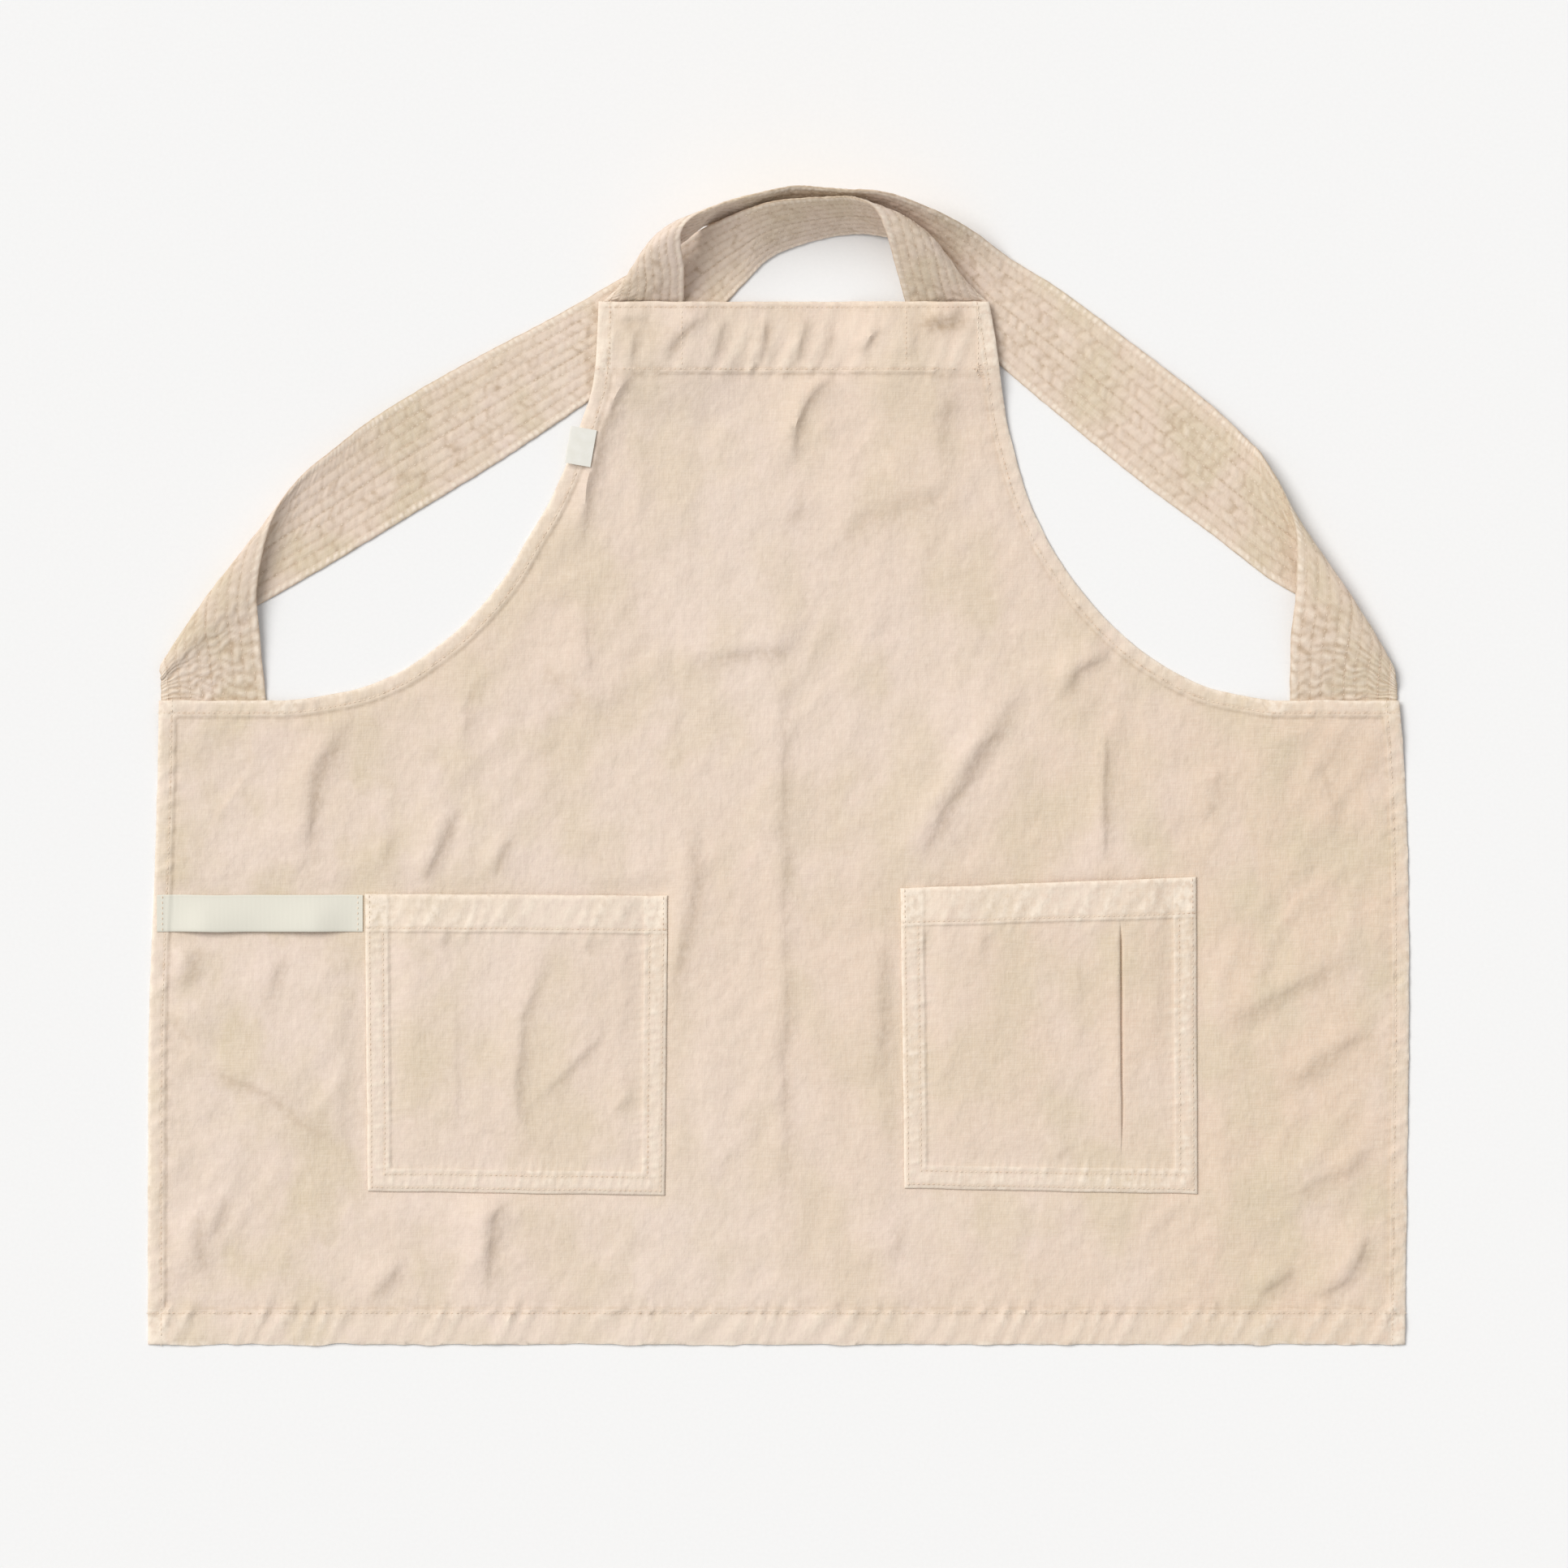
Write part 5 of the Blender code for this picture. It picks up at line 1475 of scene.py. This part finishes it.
def colour_property(name, description, default):
    """A colour that the user may change."""
    texts = {"name": name, "description": description}
    return FloatVectorProperty(**texts, default=default, subtype="COLOR", min=0.0, max=1.0)


class ApronCloth(bpy.types.PropertyGroup):
    """Thicknesses and relief of the washed linen"""

    single: length_property("Single Cloth", "One layer's thickness", 0.0009)
    hem: length_property("Hem", "Thickness of a turned hem", 0.0018)
    weave: length_property("Weave", "From one thread to the next", 0.0009)
    fold: strength_property("Folds", "Strength of the laid folds", 2.7)
    wrinkle: strength_property("Wrinkles", "Strength of the random creases", 1.5)
    pucker: length_property("Pucker", "Height of the gathers at seams", 0.0018)


class ApronQuilt(bpy.types.PropertyGroup):
    """Relief of the quilted straps"""

    flat: length_property("Seam Half Thickness", "Half the strap's thickness at a stitch row", 0.0007)
    puff: length_property("Puff", "How far a channel swells", 0.0006)


class ApronSewing(bpy.types.PropertyGroup):
    """The sewing thread and its stitches"""

    length: length_property("Stitch", "One stitch's length", 0.0026)
    pitch: length_property("Pitch", "From one stitch to the next", 0.0036)
    thread: length_property("Thread", "The thread's thickness", 0.0007)


class ApronColours(bpy.types.PropertyGroup):
    """Colours of the cloths, as linear red, green and blue"""

    pink_linen: colour_property("Pink Linen", "Cloth where the dye is light", (0.825, 0.680, 0.590))
    rose_linen: colour_property("Rose Linen", "Rosy patches of the dye", (0.845, 0.690, 0.610))
    tan_linen: colour_property("Tan Linen", "Cloth where the dye is strong", (0.775, 0.590, 0.450))
    # tan_linen is also laid more towards the right side (+X).
    sand_linen: colour_property("Sand Linen", "Sandy patches of the dye", (0.690, 0.570, 0.405))
    # pale_linen also paints highlight on the crests of gathers and puffs.
    pale_linen: colour_property("Pale Linen", "Worn seams and slubs", (0.91, 0.79, 0.66))
    # deep_linen is painted shade in grooves, down fold flanks and in dips; it also darkens the weave's gaps
    # and a random mottle.
    deep_linen: colour_property("Deep Linen", "Stitch grooves", (0.52, 0.385, 0.265))
    thread: colour_property("Thread", "Sewing thread", (0.90, 0.79, 0.66))
    tape: colour_property("Tape", "Grosgrain tape", (0.80, 0.775, 0.68))
    tape_shade: colour_property("Tape Shade", "Blotches of the tape and the tag", (0.70, 0.68, 0.58))
    tag: colour_property("Tag", "Blank satin tag", (0.86, 0.845, 0.79))
    floor: colour_property("Floor", "Pale paper", (0.93, 0.93, 0.93))


class ApronStudio(bpy.types.PropertyGroup):
    """Light and camera"""

    key: strength_property("Key Light", "Strength of the light from the upper left", 2.20)
    fill: strength_property("Fill", "Strength of the light from all round", 0.475)
    lens: strength_property("Lens", "Focal length in millimetres", 400.0)
    view_width: length_property("View", "Width of the floor in view", 1.1128)
    view_x: length_property("View X", "Middle of the view", 0.0035)
    view_y: length_property("View Y", "Middle of the view", -0.0121)
    roll: strength_property("Roll", "The camera's turn, in degrees", 0.0)


class APRON_OT_body(bpy.types.Operator):
    """Lay the linen body with its hems, folds and stitches"""

    bl_idname = "apron.body"
    bl_label = "Linen Body"

    def execute(self, context):
        make_body(context.scene)
        return {"FINISHED"}


class APRON_OT_straps(bpy.types.Operator):
    """Lay the two quilted straps"""

    bl_idname = "apron.straps"
    bl_label = "Quilted Straps"

    def execute(self, context):
        make_strap(context.scene, "strap_left", LEFT_STRAP, 70.0)
        make_strap(context.scene, "strap_right", RIGHT_STRAP, 80.0)
        return {"FINISHED"}


class APRON_OT_pockets(bpy.types.Operator):
    """Sew on the two patch pockets"""

    bl_idname = "apron.pockets"
    bl_label = "Patch Pockets"

    def execute(self, context):
        for row in rows_of(POCKET_COLUMNS, POCKETS):
            make_pocket(context.scene, row)
        return {"FINISHED"}


class APRON_OT_towel_loop(bpy.types.Operator):
    """Sew on the tape that holds a towel"""

    bl_idname = "apron.towel_loop"
    bl_label = "Towel Loop"

    def execute(self, context):
        make_towel_loop(context.scene)
        return {"FINISHED"}


class APRON_OT_tag(bpy.types.Operator):
    """Sew on the blank tag"""

    bl_idname = "apron.tag"
    bl_label = "Blank Tag"

    def execute(self, context):
        make_tag(context.scene)
        return {"FINISHED"}


class APRON_OT_studio(bpy.types.Operator):
    """Set up the floor, the light and the camera"""

    bl_idname = "apron.studio"
    bl_label = "Studio"

    def execute(self, context):
        make_studio(context.scene)
        return {"FINISHED"}


STEPS = (
    APRON_OT_body,
    APRON_OT_straps,
    APRON_OT_pockets,
    APRON_OT_towel_loop,
    APRON_OT_tag,
    APRON_OT_studio,
)


class APRON_PT_panel(bpy.types.Panel):
    """The steps that dress the apron"""

    bl_idname = "APRON_PT_panel"
    bl_label = "Smock Apron"
    bl_space_type = "VIEW_3D"
    bl_region_type = "UI"
    bl_category = "Apron"

    def draw(self, context):
        for step in STEPS:
            self.layout.operator(step.bl_idname)
        for name in SETTINGS:
            settings = getattr(context.scene, name)
            box = self.layout.box()
            for key in settings.__annotations__:
                box.prop(settings, key)


SETTINGS = {
    "apron_cloth": ApronCloth,
    "apron_quilt": ApronQuilt,
    "apron_sewing": ApronSewing,
    "apron_colours": ApronColours,
    "apron_studio": ApronStudio,
}


def register():
    """Registers the settings, the operators and the panel."""
    for kind in (*SETTINGS.values(), *STEPS, APRON_PT_panel):
        bpy.utils.register_class(kind)
    for name, kind in SETTINGS.items():
        setattr(bpy.types.Scene, name, PointerProperty(type=kind))


def unregister():
    """Takes back what register added."""
    for name in SETTINGS:
        delattr(bpy.types.Scene, name)
    for kind in reversed((*SETTINGS.values(), *STEPS, APRON_PT_panel)):
        bpy.utils.unregister_class(kind)


def main():
    """Dresses the apron step by step."""
    register()
    bpy.ops.apron.body()
    bpy.ops.apron.straps()
    bpy.ops.apron.pockets()
    bpy.ops.apron.towel_loop()
    bpy.ops.apron.tag()
    bpy.ops.apron.studio()


if __name__ == "__main__":
    main()
